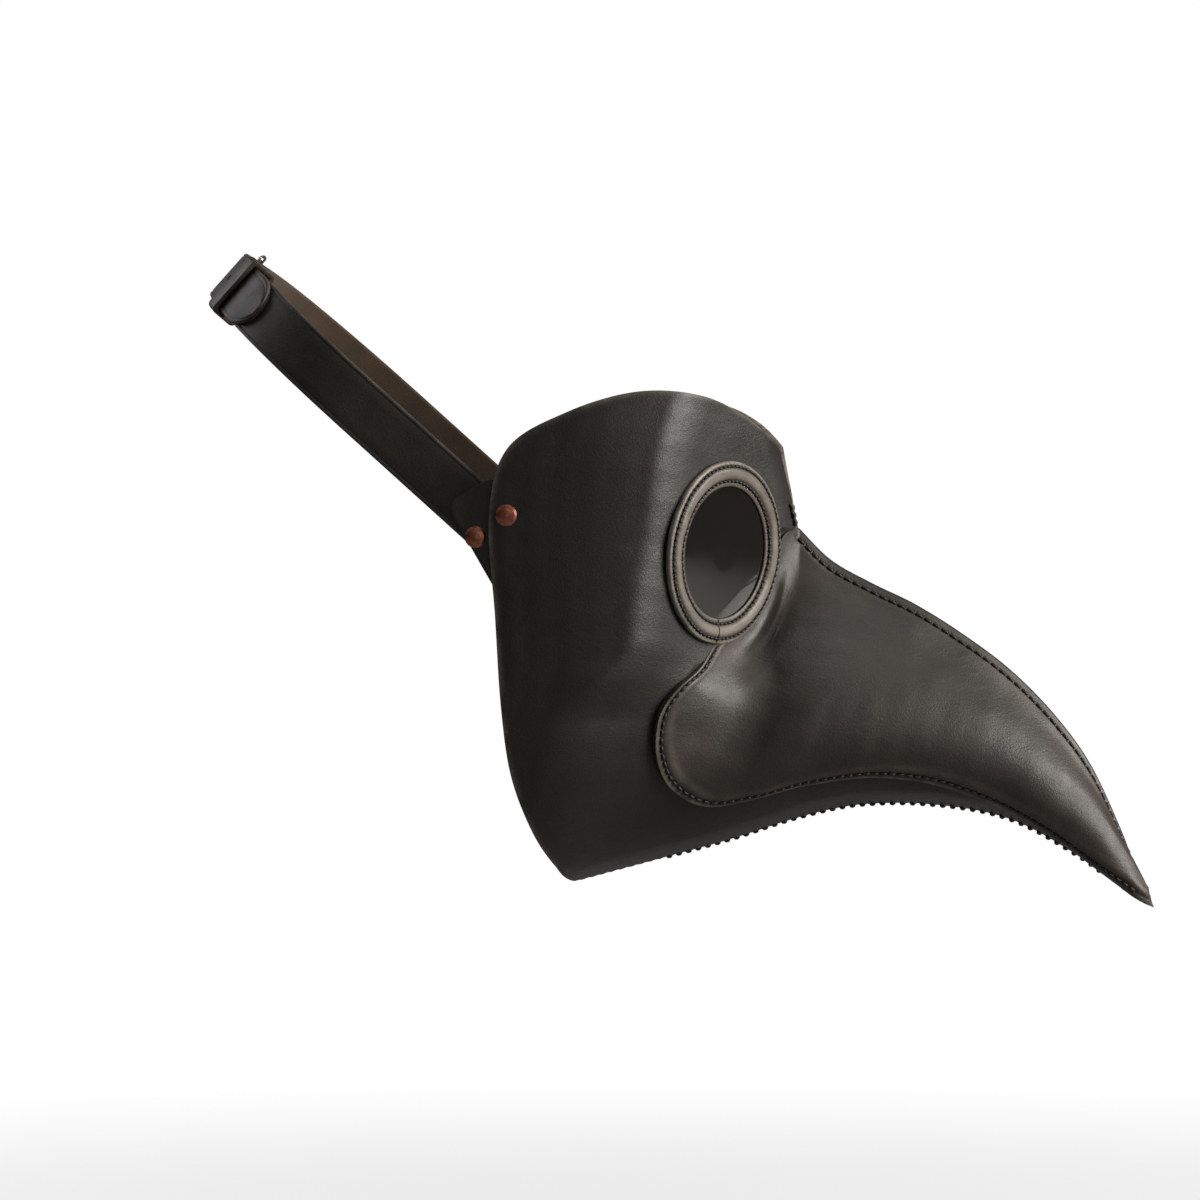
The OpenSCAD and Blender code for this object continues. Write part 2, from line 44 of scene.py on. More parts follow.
# ---- camera, light and floor ----
VIEW_TURN = 5            # degrees in front of the wearer's right side
VIEW_DISTANCE = 2.6
VIEW_WIDTH = 0.48
VIEW_CENTRE = Vector((0.040, 0, -0.0188))
LIGHT_AIM = Vector((0.06, 0, -0.02))
FLOOR_Z, FLOOR_R, FLOOR_SIDES = -0.26, 6, 128


def linear(red, green, blue):
    """A colour given as 0 to 255 sRGB values, as the linear values that shaders take."""
    def one(value):
        c = value / 255
        return c / 12.92 if c <= 0.04045 else ((c + 0.055) / 1.055) ** 2.4
    return one(red), one(green), one(blue), 1.0


def placed(name, data, place=(0, 0, 0), away=None):
    """A new object in the scene. Its +Z axis points away, where that is given."""
    obj = bpy.data.objects.new(name, data)
    obj.location = place
    if away:
        obj.rotation_euler = away.to_track_quat("Z", "Y").to_euler()
    bpy.context.scene.collection.objects.link(obj)
    return obj


def make_camera():
    turn = math.radians(VIEW_TURN)
    away = Vector((math.sin(turn), -math.cos(turn), 0)) * VIEW_DISTANCE
    data = bpy.data.cameras.new("camera")
    data.sensor_width = 36
    data.lens = data.sensor_width * VIEW_DISTANCE / VIEW_WIDTH
    data.clip_end = 50
    bpy.context.scene.camera = placed("camera", data, VIEW_CENTRE + away, away)


def area_light(name, place, size, power, tint=(1, 1, 1)):
    data = bpy.data.lights.new(name, "AREA")
    data.size = size
    data.energy = power
    data.color = tint
    placed(name, data, place, Vector(place) - LIGHT_AIM)


class Nodes:
    """A few short cuts for building the nodes of a material or a world."""

    def __init__(self, owner):
        owner.use_nodes = True
        self.nodes, self.links = owner.node_tree.nodes, owner.node_tree.links

    def node(self, kind, inputs=None, **settings):
        """A new node. An input is given a number, a colour or another node's output."""
        node = self.nodes.new("ShaderNode" + kind)
        for key, value in settings.items():
            setattr(node, key, value)
        for key, value in (inputs or {}).items():
            if isinstance(value, bpy.types.NodeSocket):
                self.links.new(value, node.inputs[key])
            else:
                node.inputs[key].default_value = value
        return node

    def ramp(self, value, low, high, to_low=0.0, to_high=1.0, kind="LINEAR"):
        return self.node("MapRange", {"Value": value, "From Min": low, "From Max": high,
                                      "To Min": to_low, "To Max": to_high},
                         interpolation_type=kind).outputs["Result"]


def make_world():
    """A white backdrop. What lights the mask is a dome that is bright overhead and dim below."""
    world = bpy.data.worlds.new("studio")
    bpy.context.scene.world = world
    t = Nodes(world)
    t.nodes.clear()
    split = t.node("SeparateXYZ", {0: t.node("TexCoord").outputs["Generated"]})
    dome = t.ramp(split.outputs["Z"], -0.1, 0.9, 0.02, 0.2, "SMOOTHSTEP")
    seen = t.node("LightPath").outputs["Is Camera Ray"]
    strength = t.node("Mix", {"Factor": seen, "A": dome, "B": 1.0}).outputs["Result"]
    glow = t.node("Background", {"Color": (1, 1, 1, 1), "Strength": strength})
    t.node("OutputWorld", {"Surface": glow.outputs[0]})


def make_floor():
    """A pale floor that runs out into the white backdrop."""
    t = Tree("pale_floor")
    t.set(Base_Color=(0.25, 0.25, 0.25, 1), Roughness=0.8, Specular_IOR_Level=0.1)
    reach = t.node("VectorMath", {0: t.place}, operation="LENGTH").outputs["Value"]
    fade = t.ramp(reach, 0.1, 0.7, 0.8, 1.0, "SMOOTHSTEP")
    share = t.maths("MULTIPLY", fade, t.node("LightPath").outputs["Is Camera Ray"])
    white = t.node("Emission").outputs[0]
    mix = t.node("MixShader", {0: share, 1: t.shader.outputs[0], 2: white})
    t.links.new(mix.outputs[0], t.nodes["Material Output"].inputs["Surface"])
    mesh = bpy.data.meshes.new("floor")
    rim = [(FLOOR_R * math.cos(a), FLOOR_R * math.sin(a), 0) for a in turns(FLOOR_SIDES)]
    mesh.from_pydata(rim, [], [range(FLOOR_SIDES)])
    mesh.materials.append(t.material)
    placed("floor", mesh, (0.07, 0, FLOOR_Z))


def make_stage():
    make_camera()
    make_world()
    bpy.context.scene.view_settings.view_transform = "Standard"
    warm = (1, 0.97, 0.92)
    area_light("key", (1.85, -0.3, 0.6), 1.2, 56, warm)
    area_light("top", (0.35, -0.1, 1.6), 0.9, 5, warm)
    area_light("near_fill", (0.5, -1.9, 0.5), 1.3, 2)
    area_light("rear_fill", (-1.5, 0.7, 0.9), 1.4, 9)
    make_floor()


# ---- smooth curves and blends ----
def turns(count):
    """Angles at even steps of one full turn."""
    return np.linspace(0, 2 * math.pi, count, endpoint=False)


def ease(a, b, t):
    u = np.clip((t - a) / (b - a), 0, 1)
    return u * u * (3 - 2 * u)


def bump(t, centre, width):
    return np.exp(-(((t - centre) / width) ** 2))


def soft_min(a, b, k):
    h = np.maximum(k - np.abs(a - b), 0) / k
    return np.minimum(a, b) - h * h * k / 4


def soft_max(a, b, k):
    return -soft_min(-a, -b, k)


def unit(v):
    return v / np.maximum(np.linalg.norm(v, axis=-1, keepdims=True), 1e-9)


def spline(points, t):
    """Point at place t of a list, where t = 2.5 is halfway from point 2 to point 3."""
    p = np.asarray(points, float)
    t = np.asarray(t, float)
    last = len(p) - 1
    i = np.clip(np.floor(t).astype(int), 0, last - 1)
    u = (t - i)[..., None]
    a, b, c, d = p[np.maximum(i - 1, 0)], p[i], p[i + 1], p[np.minimum(i + 2, last)]
    return 0.5 * (2 * b + (c - a) * u + (2 * a - 5 * b + 4 * c - d) * u ** 2
                  + (3 * b - a - 3 * c + d) * u ** 3)


def outline_z(points, x):
    """Height at x of an outline given as [x, z] points, with a smooth slope."""
    p = np.asarray(points, float)
    last = len(p) - 1
    before, after = np.maximum(np.arange(last + 1) - 1, 0), np.minimum(np.arange(last + 1) + 1, last)
    slope = (p[after, 1] - p[before, 1]) / (p[after, 0] - p[before, 0])
    i = np.clip(np.searchsorted(p[:, 0], x) - 1, 0, last - 1)
    wide = p[i + 1, 0] - p[i, 0]
    u = (x - p[i, 0]) / wide
    v = 1 - u
    return (p[i, 1] * v * v * (1 + 2 * u) + p[i + 1, 1] * u * u * (1 + 2 * v)
            + wide * u * v * (slope[i] * v - slope[i + 1] * u))


# ---- the mask's own surface ----
LEATHER = 2.4
LIFT = 2.8               # how far the beak panel stands proud where it laps over the face panel
EYE_X, EYE_Y = 91.5, 44
EYE_TURN, EYE_DIP = 57, 5.5
FACET_LEAN = 0.178       # how much wider the eye's facet gets with height
RING_R, WINDOW_R = 36, 26
TEMPLE_HALF_W = 86
WIDEST_X, SIDE_BEND = 22, 0.001          # where the side is widest, and how it curves from there
BEND_Z, BEND_X, EDGE_BEND = 28, 35, 0.004        # above and in front of these it curves more
FACET_LOW, LOW_WIDER = (32, 66), 12      # below the eye the facet turns to the side
HALF_SEAM = 0.25
EYE_PINCH, NOSE_PINCH = 0.42, 0.1        # how much the beak draws in round the eye ring, and above
PINCH_REACH = 60
FOLD_LEAST, FOLD_MORE, FOLD_RATE = 3, 11, 0.4    # how softly the beak runs into the face
BROW_X, BROW_LEAN, BROW_STEEP = 120.1, 0.09, 4
DRAWN_TURN = math.tan(math.radians(5))

RIDGE = [[119.5, 10], [132, -2.4], [148, -11.6], [166, -20.4], [184, -31.6], [204, -46.6],
         [222, -65], [236, -84.6], [248, -110.5], [256, -131.5], [261, -141]]
KEEL = [[28, -132], [60, -123.4], [92, -114.6], [120, -105.6], [144, -100.6], [174, -100.6],
        [204, -106.4], [232, -121.6], [252, -136.6], [261, -141.6]]
BEAK_W = [[60, 50], [90, 47], [112, 43.5], [130, 39], [150, 34.5], [175, 28.5], [200, 22.5],
          [222, 16.5], [240, 10.5], [252, 6], [261, 2]]
FACE_INNER = [[120.5, 6], [113.2, 2], [110.8, -9], [108, -20.6], [103, -31.4], [96.4, -39.4],
              [89, -45], [79, -55], [71, -68], [70, -79], [73, -86], [78, -89], [84, -90],
              [97, -88], [117, -82], [144, -78.6], [170, -81], [195, -88.6], [218, -100.4],
              [236, -113.6], [247, -124.6], [256, -134.6]]
FACE_OUTER = [[111.2, 42.6], [97.5, 53.4], [79, 61], [54, 62], [27, 54], [4, 40], [-3.2, 14],
              [-0.8, -26], [1.4, -60], [5.2, -87], [13.2, -109], [22, -123.4], [30, -131.4],
              [44, -127.8], [74, -119.6], [108, -109.6], [150, -100.2], [190, -102.8],
              [217, -112.6], [236, -124.2], [248, -133.8], [257.4, -139.6]]
CHIN_PLACE = 12          # place on FACE_OUTER where the keel begins
BEAK_X = [119.6, 120.6, 122, 124, 127, 131, 137, 146, 159, 175, 192, 208, 223, 237, 248, 256, 260]
BEAK_EDGE = [[88, -32.5], [79, -45], [69.4, -52.6], [62, -63], [60.8, -78], [66.5, -91],
             [80, -98.2], [97, -96.4], [118, -90.8], [144, -87.2], [168, -89], [192, -96.2],
             [213, -106], [232, -118.6], [246, -129.4], [255, -136.8], [259.8, -140.6]]
BEAK_REAR = [[119.6, 10], [113.4, 7], [110, -2], [108, -13], [103.6, -23], [97, -29.8],
             [88, -32.5]]
BEAK_PLACES = len(BEAK_X) - 1
REAR_BOW = 11            # how far the lines of the beak's grid bend away from the eye ring


def ridge_z(x):
    bridge_x, bridge_z = RIDGE[0]
    return np.where(x < bridge_x, bridge_z + 0.9 * (bridge_x - x), outline_z(RIDGE, x))


def keel_z(x):
    return outline_z(KEEL, np.maximum(x, 0))


def head_y(x, z):
    """Side of the head, then the flat facet that carries the eye ring, then the brow."""
    side = TEMPLE_HALF_W - SIDE_BEND * (x - WIDEST_X) ** 2
    side = side - EDGE_BEND * (np.maximum(0, z - BEND_Z) ** 2 + np.maximum(0, x - BEND_X) ** 2)
    low = ease(*FACET_LOW, -z)
    turn = math.tan(math.radians(EYE_TURN)) * (1 - 0.5 * low)
    facet = EYE_Y + LOW_WIDER * low - turn * (x - EYE_X) + FACET_LEAN * z
    brow = BROW_STEEP * (BROW_X - BROW_LEAN * z - x)
    jaw = np.clip((-z - 45) / (-45 - keel_z(x)), 0, 1)
    flat = soft_min(soft_min(side, facet, 9), brow, 8)
    return flat * np.maximum(0, 1 - jaw ** 2.3) ** (1 / 2.1)


def beak_y(x, z):
    """Beak: widest low down, rounded under the jaw and closed along the ridge."""
    top = ridge_z(x)
    t = np.clip((top - z) / (top - keel_z(x)), 0, 1)
    return outline_z(BEAK_W, x) * np.maximum(0, np.sin(math.pi * t ** 1.8)) ** 0.56


def eye_distance(x, z):
    """Distance from the eye's centre, measured in the plane of the ring."""
    return np.hypot((x - EYE_X) / math.cos(math.radians(EYE_TURN)), z)


def half_w(x, z):
    head = head_y(x, z)
    depth = np.maximum(0, ridge_z(x) - z)
    fold = FOLD_LEAST + np.minimum(FOLD_MORE, FOLD_RATE * depth)
    from_eye = eye_distance(x, z)
    pinch = EYE_PINCH + NOSE_PINCH * ease(-45, -20, z)
    beak = beak_y(x, z) * (1 - pinch * (1 - ease(RING_R, RING_R + PINCH_REACH, from_eye)))
    away = ease(RING_R - 3, RING_R + 9, from_eye)
    return head + (soft_max(head, beak, fold) - head) * away


def from_drawn(p):
    """The outlines are drawn as seen from a little in front of the side."""
    drawn_x, z = p[..., 0], p[..., 1]
    x = drawn_x
    for _ in range(5):
        x = drawn_x + DRAWN_TURN * half_w(x, z)
    return x, z


def right_half(x, z, shut=1.0):
    """Points of the wearer's right half. A shut below 1 draws them in to the middle plane."""
    return np.stack(np.broadcast_arrays(x, -np.maximum(HALF_SEAM, half_w(x, z) * shut), z), -1)


def grid_normals(grid):
    """Outward normals of a grid of points on the right half."""
    n = unit(np.cross(np.gradient(grid, axis=0), np.gradient(grid, axis=1)))
    return n if n[..., 1].mean() < 0 else -n


def keel_normals(grid, normals):
    """Where a grid lies on the middle plane at the keel, it faces straight down."""
    x = grid[..., 0]
    down = unit(np.stack([keel_z(x + 1) - keel_z(x - 1), 0 * x, 0 * x - 2], -1))
    near = 1 - ease(HALF_SEAM + 0.05, HALF_SEAM + 0.8, -grid[..., 1])
    near = (near * (grid[..., 2] < keel_z(x) + 3))[..., None]
    return unit(normals * (1 - near) + down * near)


def pushed(grid, normals, d):
    """A grid moved outwards by d, and kept on its own side of the middle plane."""
    p = grid + np.asarray(d)[..., None] * normals
    p[..., 1] = np.minimum(-HALF_SEAM + 0.03 * np.minimum(0, d), p[..., 1])
    return p


def swell(x, z):
    """Slow unevenness of hand-worked leather, the same for every layer at one place."""
    u, v = x + 5 * np.sin(z / 23 + 0.4), z + 6 * np.sin(x / 19 + 1.1)
    return (0.16 * np.sin(u / 11.3 + v / 31) * np.sin(v / 13.1 + 0.6)
            + 0.12 * np.sin(u / 5.9 - v / 8.7 + 2.1) * np.sin(v / 7.3 + u / 12.9)
            + 0.07 * np.sin(u / 3.1 + v / 4.3) * np.sin(v / 3.4 - u / 4.7))


# ---- meshes ----
GRAIN, FLESH, CUT = 0, 1, 2      # material indexes of a leather piece


def new_object(name, vertices, faces, materials, indexes=None, attributes=None, smooth=True):
    """A closed mesh with its normals outwards, from vertices in millimetres."""
    mesh = bpy.data.meshes.new(name)
    faces = faces.tolist() if isinstance(faces, np.ndarray) else faces
    mesh.from_pydata((np.asarray(vertices) * MM).tolist(), [], faces)
    for material in materials:
        mesh.materials.append(material)
    if indexes is not None:
        mesh.polygons.foreach_set("material_index", np.asarray(indexes, np.int32))
    mesh.polygons.foreach_set("use_smooth", np.full(len(mesh.polygons), smooth))
    for key, values in (attributes or {}).items():
        attribute = mesh.attributes.new(key, "FLOAT", "POINT")
        attribute.data.foreach_set("value", np.asarray(values, np.float32).ravel())
    obj = placed(name, mesh)
    tidy(obj)
    return obj


def grid_quads(rows, columns, first=0, wrap=False):
    """Quads between the points of a grid; wrap joins the last column to the first."""
    i, j = np.meshgrid(np.arange(rows - 1), np.arange(columns if wrap else columns - 1),
                       indexing="ij")
    k = (j + 1) % columns
    return first + np.stack([i * columns + j, i * columns + k, (i + 1) * columns + k,
                             (i + 1) * columns + j], -1).reshape(-1, 4)


def closed_quads(rows, columns):
    """The quads of a grid that is joined to itself both ways."""
    around = np.arange(columns)
    after = (around + 1) % columns
    base = (rows - 1) * columns
    return np.concatenate([grid_quads(rows, columns, wrap=True),
                           np.stack([base + around, base + after, after, around], -1)])


def end_caps(rows, columns):
    """The faces that close the first and last rings of a tube."""
    return [list(range(columns))[::-1], list(range((rows - 1) * columns, rows * columns))]


def sheet_object(name, outer, inner, materials, attributes):
    """A closed leather sheet between two grids of points, with its cut edge all round."""
    rows, columns, _ = outer.shape
    count = rows * columns
    index = np.arange(count).reshape(rows, columns)
    rim = np.concatenate([index[0, :-1], index[:-1, -1], index[-1, :0:-1], index[:0:-1, 0]])
    after = np.roll(rim, -1)
    faces = np.concatenate([grid_quads(rows, columns), grid_quads(rows, columns, count)[:, ::-1],
                            np.stack([rim, rim + count, after + count, after], -1)])
    quads = (rows - 1) * (columns - 1)
    indexes = np.repeat([GRAIN, FLESH, CUT], [quads, quads, len(rim)])
    both = {key: np.concatenate([values.ravel(), np.zeros(count)])
            for key, values in attributes.items()}
    return new_object(name, np.concatenate([outer.reshape(-1, 3), inner.reshape(-1, 3)]), faces,
                      materials, indexes, both)


def apply_modifiers(obj):
    graph = bpy.context.evaluated_depsgraph_get()
    mesh = bpy.data.meshes.new_from_object(obj.evaluated_get(graph), depsgraph=graph)
    old = obj.data
    obj.modifiers.clear()
    obj.data = mesh
    bpy.data.meshes.remove(old)


def round_edges(obj, width, segments=3, angle=50):
    bevel = obj.modifiers.new("edges", "BEVEL")
    bevel.width = width * MM
    bevel.segments = segments
    bevel.limit_method = "ANGLE"
    bevel.angle_limit = math.radians(angle)
    apply_modifiers(obj)


def cut(obj, cutter):
    boolean = obj.modifiers.new("cut", "BOOLEAN")
    boolean.operation = "DIFFERENCE"
    boolean.solver = "MANIFOLD"
    boolean.object = cutter
    apply_modifiers(obj)
    bpy.data.objects.remove(cutter)


def mirrored(obj, name):
    """The wearer's left piece, from the right one."""
    mesh = obj.data.copy()
    mesh.transform(Matrix.Scale(-1, 4, (0, 1, 0)))
    mesh.flip_normals()
    return placed(name, mesh)


def lathe(name, profile, segments, place, materials, closed=True):
    """A body of revolution about +Z of its frame, from [r, z] points; r = 0 ends are closed."""
    p = np.asarray(profile, float)
    turn = turns(segments)
    ring = np.stack([p[:, None, 0] * np.cos(turn), p[:, None, 0] * np.sin(turn),
                     np.broadcast_to(p[:, 1:2], (len(p), segments))], -1)
    faces = closed_quads(len(p), segments) if closed else grid_quads(len(p), segments, wrap=True)
    obj = new_object(name, ring.reshape(-1, 3), faces, materials)
    obj.data.transform(millimetres(place))
    return obj


def rounded_outline(low, high, radius, steps):
    """A rectangle with round corners, from its lowest and highest corners."""
    (x0, y0), (x1, y1) = low, high
    corners = ((x1 - radius, y1 - radius, 0), (x0 + radius, y1 - radius, 90),
               (x0 + radius, y0 + radius, 180), (x1 - radius, y0 + radius, 270))
    return np.array([[cx + radius * math.cos(math.radians(start + a)),
                      cy + radius * math.sin(math.radians(start + a))]
                     for cx, cy, start in corners for a in np.linspace(0, 90, steps)])


def prism(name, outline, low, high, place, material):
    """A cutter: an outline in its frame's XZ plane, drawn out along Y from low to high."""
    points = [(x, y, z) for y in (low, high) for x, z in outline]
    count = len(outline)
    faces = [list(range(count)), list(range(2 * count - 1, count - 1, -1))]
    faces += [[i, i + count, (i + 1) % count + count, (i + 1) % count] for i in range(count)]
    return new_object(name, at(np.array(points), place), faces, [material], smooth=False)


def millimetres(place):
    """The same placement, for a mesh that is already in metres."""
    moved = place.copy()
    moved.translation = place.translation * MM
    return moved


def at(points, place):
    """Points in millimetres, moved by a placement in millimetres."""
    m = np.array(place)
    return points @ m[:3, :3].T + m[:3, 3]


def tidy(obj):
    """Drops doubled points and turns every face outwards."""
    work = bmesh.new()
    work.from_mesh(obj.data)
    bmesh.ops.remove_doubles(work, verts=work.verts, dist=1e-6)
    bmesh.ops.dissolve_degenerate(work, edges=work.edges, dist=1e-7)
    bmesh.ops.recalc_face_normals(work, faces=work.faces)
    if work.calc_volume(signed=True) < 0:
        bmesh.ops.reverse_faces(work, faces=work.faces)
    work.to_mesh(obj.data)
    work.free()


# ---- thread ----
THREAD_R = 0.55


def column_distance(grid):
    """Distance from the first row of a grid, measured along each column."""
    step = np.linalg.norm(np.diff(grid, axis=0), axis=2)
    return np.vstack([np.zeros(grid.shape[1]), np.cumsum(step, axis=0)])


def row_distance(grid):
    """Distance from the first column of a grid, measured along each row."""
    return np.cumsum(np.linalg.norm(np.gradient(grid, axis=1), axis=2), axis=1)


def along_columns(grid, distance, inset):
    """The line that runs across the columns of a grid, at one distance down each of them."""
    return np.array([[np.interp(inset, distance[:, c], grid[:, c, k]) for k in range(3)]
                     for c in range(grid.shape[1])])


def arc_length(points):
    return np.concatenate([[0], np.cumsum(np.linalg.norm(np.diff(points, axis=0), axis=1))])


def pull(across, along, inset, pitch, share=0.62):
    """How deep a row of stitches draws the leather in, and how much painted shade darkens its groove.
    """
    phase = along / pitch % 1
    holes = bump((np.abs(phase - 0.5) - share / 2) * pitch, 0, 0.5)
    return bump(across, inset, 0.9) * (0.22 + 0.3 * holes), \
        bump(across, inset, 1.0) * (0.45 + 0.55 * holes)


def paced(line, normals, pitch, length=None, start=0, end=None, reach=0.6):
    """Middle, direction and normal of each stitch along a line. A length measured before the
    leather was drawn in keeps the stitches over their holes."""
    length = arc_length(line) if length is None else length
    end = length[-1] if end is None else end
    middle = pitch * (np.arange(math.ceil(start / pitch), math.floor(end / pitch)) + 0.5)

    def there(values, offset=0.0):
        return np.stack([np.interp(middle + offset, length, values[:, k]) for k in range(3)], -1)
    direction = unit(there(line, reach) - there(line, -reach))
    return there(line), direction, unit(there(normals))


def stitch_shape(length, radius, height):
    """One stitch of two-ply thread: it comes up from one hole and goes down the next."""
    rings, sides = 13, 12
    along = np.linspace(-1, 1, rings)[:, None]
    turn = turns(sides)[None, :]
    drop = height + 0.75
    r = radius * (0.97 + 0.07 * np.cos(2 * turn - 8 * along)) * (1 - 0.35 * along ** 6)
    slope = np.arctan2(-4 * drop * along ** 3, length / 2)
    x = length / 2 * along - np.sin(slope) * r * np.cos(turn)
    z = height - drop * along ** 4 + np.cos(slope) * r * np.cos(turn)
    y = r * np.sin(turn)
    return np.stack(np.broadcast_arrays(x, y, z), -1).reshape(-1, 3), rings, sides


def thread_object(name, rows, material, radius=THREAD_R):
    """Every stitch of one run of thread, as one piece of many closed solids.
    rows holds (middles, directions, normals, length, height) of each row of stitches."""
    vertices, faces, first = [], [], 0
    for middle, direction, normal, length, height in rows:
        shape, rings, sides = stitch_shape(length, radius, height)
        side = unit(np.cross(normal, direction))
        up = np.cross(direction, side)
        caps = end_caps(rings, sides)
        for m, d, s, u in zip(middle, direction, side, up):
            vertices.append(m + shape @ np.stack([d, s, u]))
            faces += grid_quads(rings, sides, first, wrap=True).tolist()
            faces += [[first + v for v in cap] for cap in caps]
            first += len(shape)
    return new_object(name, np.concatenate(vertices), faces, [material])


# ---- materials ----
class Tree(Nodes):
    """The nodes of one material, with its shader and its place on the object."""

    def __init__(self, name):
        self.material = bpy.data.materials.new(name)
        super().__init__(self.material)
        self.shader = self.nodes["Principled BSDF"]
        self.place = self.node("TexCoord").outputs["Object"]

    def set(self, **values):
        for key, value in values.items():
            self.shader.inputs[key.replace("_", " ")].default_value = value

    def noise(self, scale, detail=4.0, roughness=0.55, place=None, distortion=0.0):
        return self.node("TexNoise", {"Scale": scale, "Detail": detail, "Roughness": roughness,
                                      "Distortion": distortion,
                                      "Vector": place or self.place}).outputs[0]

    def stretched(self, scale):
        return self.node("Mapping", {"Scale": scale, "Vector": self.place}).outputs[0]

    def maths(self, operation, a, b):
        return self.node("Math", {0: a, 1: b}, operation=operation).outputs[0]

    def mix(self, factor, a, b):
        """Two colours, mixed."""
        return self.node("Mix", {0: factor, 6: a, 7: b}, data_type="RGBA").outputs[2]

    def attribute(self, name):
        return self.node("Attribute", attribute_name=name).outputs["Fac"]

    def bump(self, height, depth, strength=1.0, after=None):
        inputs = {"Strength": strength, "Distance": depth, "Height": height}
        if after is not None:
            inputs["Normal"] = after
        return self.node("Bump", inputs).outputs[0]

    def finish(self, color, roughness=None, normal=None):
        for key, value in (("Base Color", color), ("Roughness", roughness), ("Normal", normal)):
            if value is not None:
                self.links.new(value, self.shader.inputs[key])
        return self.material


def leather(name, dark, light, tint, worn_and_highlight, roughness, grain=1500, grain_depth=0.00009):
    """Waxed leather: clouded colour, rubbed high spots and painted highlights, painted shade in stitch
    grooves and creases, pebbled grain and fine creases.
    """
    t = Tree(name)
    clouds = t.ramp(t.noise(26, 5, 0.6, distortion=0.4), 0.34, 0.68)
    fine = t.ramp(t.noise(210, 4, 0.6), 0.3, 0.7)
    tinted = t.ramp(t.noise(14, 3, 0.5), 0.42, 0.7, 0, 0.75)
    color = t.mix(clouds, dark, light)
    color = t.mix(tinted, color, tint)
    color = t.mix(t.maths("MULTIPLY", fine, 0.35), color, dark)
    # Lighter where the leather is rubbed at its edges (real wear) and in painted highlights along the
    # brow, the beak's ridge and its puffed border.
    rubbed_and_highlit = t.maths("MULTIPLY", t.attribute("wear_and_highlight"), t.ramp(t.noise(90, 4), 0.3, 0.62))
    color = t.mix(rubbed_and_highlit, color, worn_and_highlight)
    # Painted shade: darker in the stitch grooves, between the keel's whip stitches and along the
    # strap's creases.
    color = t.mix(t.maths("MULTIPLY", t.attribute("groove_shade"), 0.8), color, linear(10, 9, 8))
    pebbles = t.node("TexVoronoi", {"Scale": grain, "Vector": t.place},
                     feature="SMOOTH_F1").outputs["Distance"]
    creases = t.noise(160, 6, 0.7, t.stretched((1, 1, 2.2)), 0.8)
    normal = t.bump(pebbles, grain_depth, 0.75)
    normal = t.bump(creases, 0.0005, 0.35, normal)
    gloss = t.ramp(t.maths("ADD", t.maths("MULTIPLY", clouds, 0.6),
                           t.maths("MULTIPLY", fine, 0.4)),
                   0, 1, roughness - 0.08, roughness + 0.1)
    t.set(Specular_IOR_Level=0.42, Coat_Weight=0.08, Coat_Roughness=0.36)
    return t.finish(color, gloss, normal)


def flesh_side(name, color):
    """The napped inner side of leather."""
    t = Tree(name)
    fibres = t.noise(700, 6, 0.75, t.stretched((1, 1, 0.4)), 1.5)
    dark = tuple(0.6 * c for c in color[:3]) + (1,)
    shade = t.mix(t.ramp(t.noise(45, 5), 0.3, 0.7), color, dark)
    t.set(Roughness=0.9, Specular_IOR_Level=0.15, Sheen_Weight=0.25, Sheen_Roughness=0.5)
    return t.finish(shade, None, t.bump(fibres, 0.0002, 0.6))


def cut_edge(name, color, dark):
    """A cut and rubbed leather edge, with the layers of its fibres."""
    t = Tree(name)
    fibres = t.noise(1300, 5, 0.7)
    shade = t.mix(t.ramp(t.noise(240, 5, 0.65), 0.35, 0.7), dark, color)
    t.set(Roughness=0.55, Specular_IOR_Level=0.35)
    return t.finish(shade, None, t.bump(fibres, 0.00012, 0.6))


def waxed_thread(name):
    t = Tree(name)
    strands = t.noise(2600, 3, 0.6)
    shade = t.mix(t.ramp(strands, 0.3, 0.7), linear(11, 10, 9), linear(34, 31, 28))
    t.set(Roughness=0.48, Specular_IOR_Level=0.4)
    return t.finish(shade, None, t.bump(strands, 0.00008, 0.7))


def worn_metal(name, clean, dull, roughness):
    """Plated or polished metal with fine scratches and dull patches."""
    t = Tree(name)
    patches = t.ramp(t.noise(420, 5, 0.65), 0.42, 0.72)
    scratches = t.noise(2200, 3, 0.6, t.stretched((1, 0.12, 1)))
    gloss = t.maths("ADD", t.ramp(patches, 0, 1, roughness, roughness + 0.22),
                    t.ramp(scratches, 0.3, 0.7, -0.04, 0.05))
    t.set(Metallic=1.0)
    return t.finish(t.mix(patches, clean, dull), gloss, t.bump(scratches, 0.00003, 0.5))


def smoked_glass(name):
    t = Tree(name)
    smears = t.ramp(t.noise(60, 5, 0.6, distortion=1.2), 0.35, 0.75, 0.035, 0.11)
    shade = t.mix(t.noise(30, 2), linear(20, 16, 13), linear(27, 23, 20))
    t.set(Specular_IOR_Level=0.62, Coat_Weight=0.4, Coat_Roughness=0.03)
    return t.finish(shade, smears)


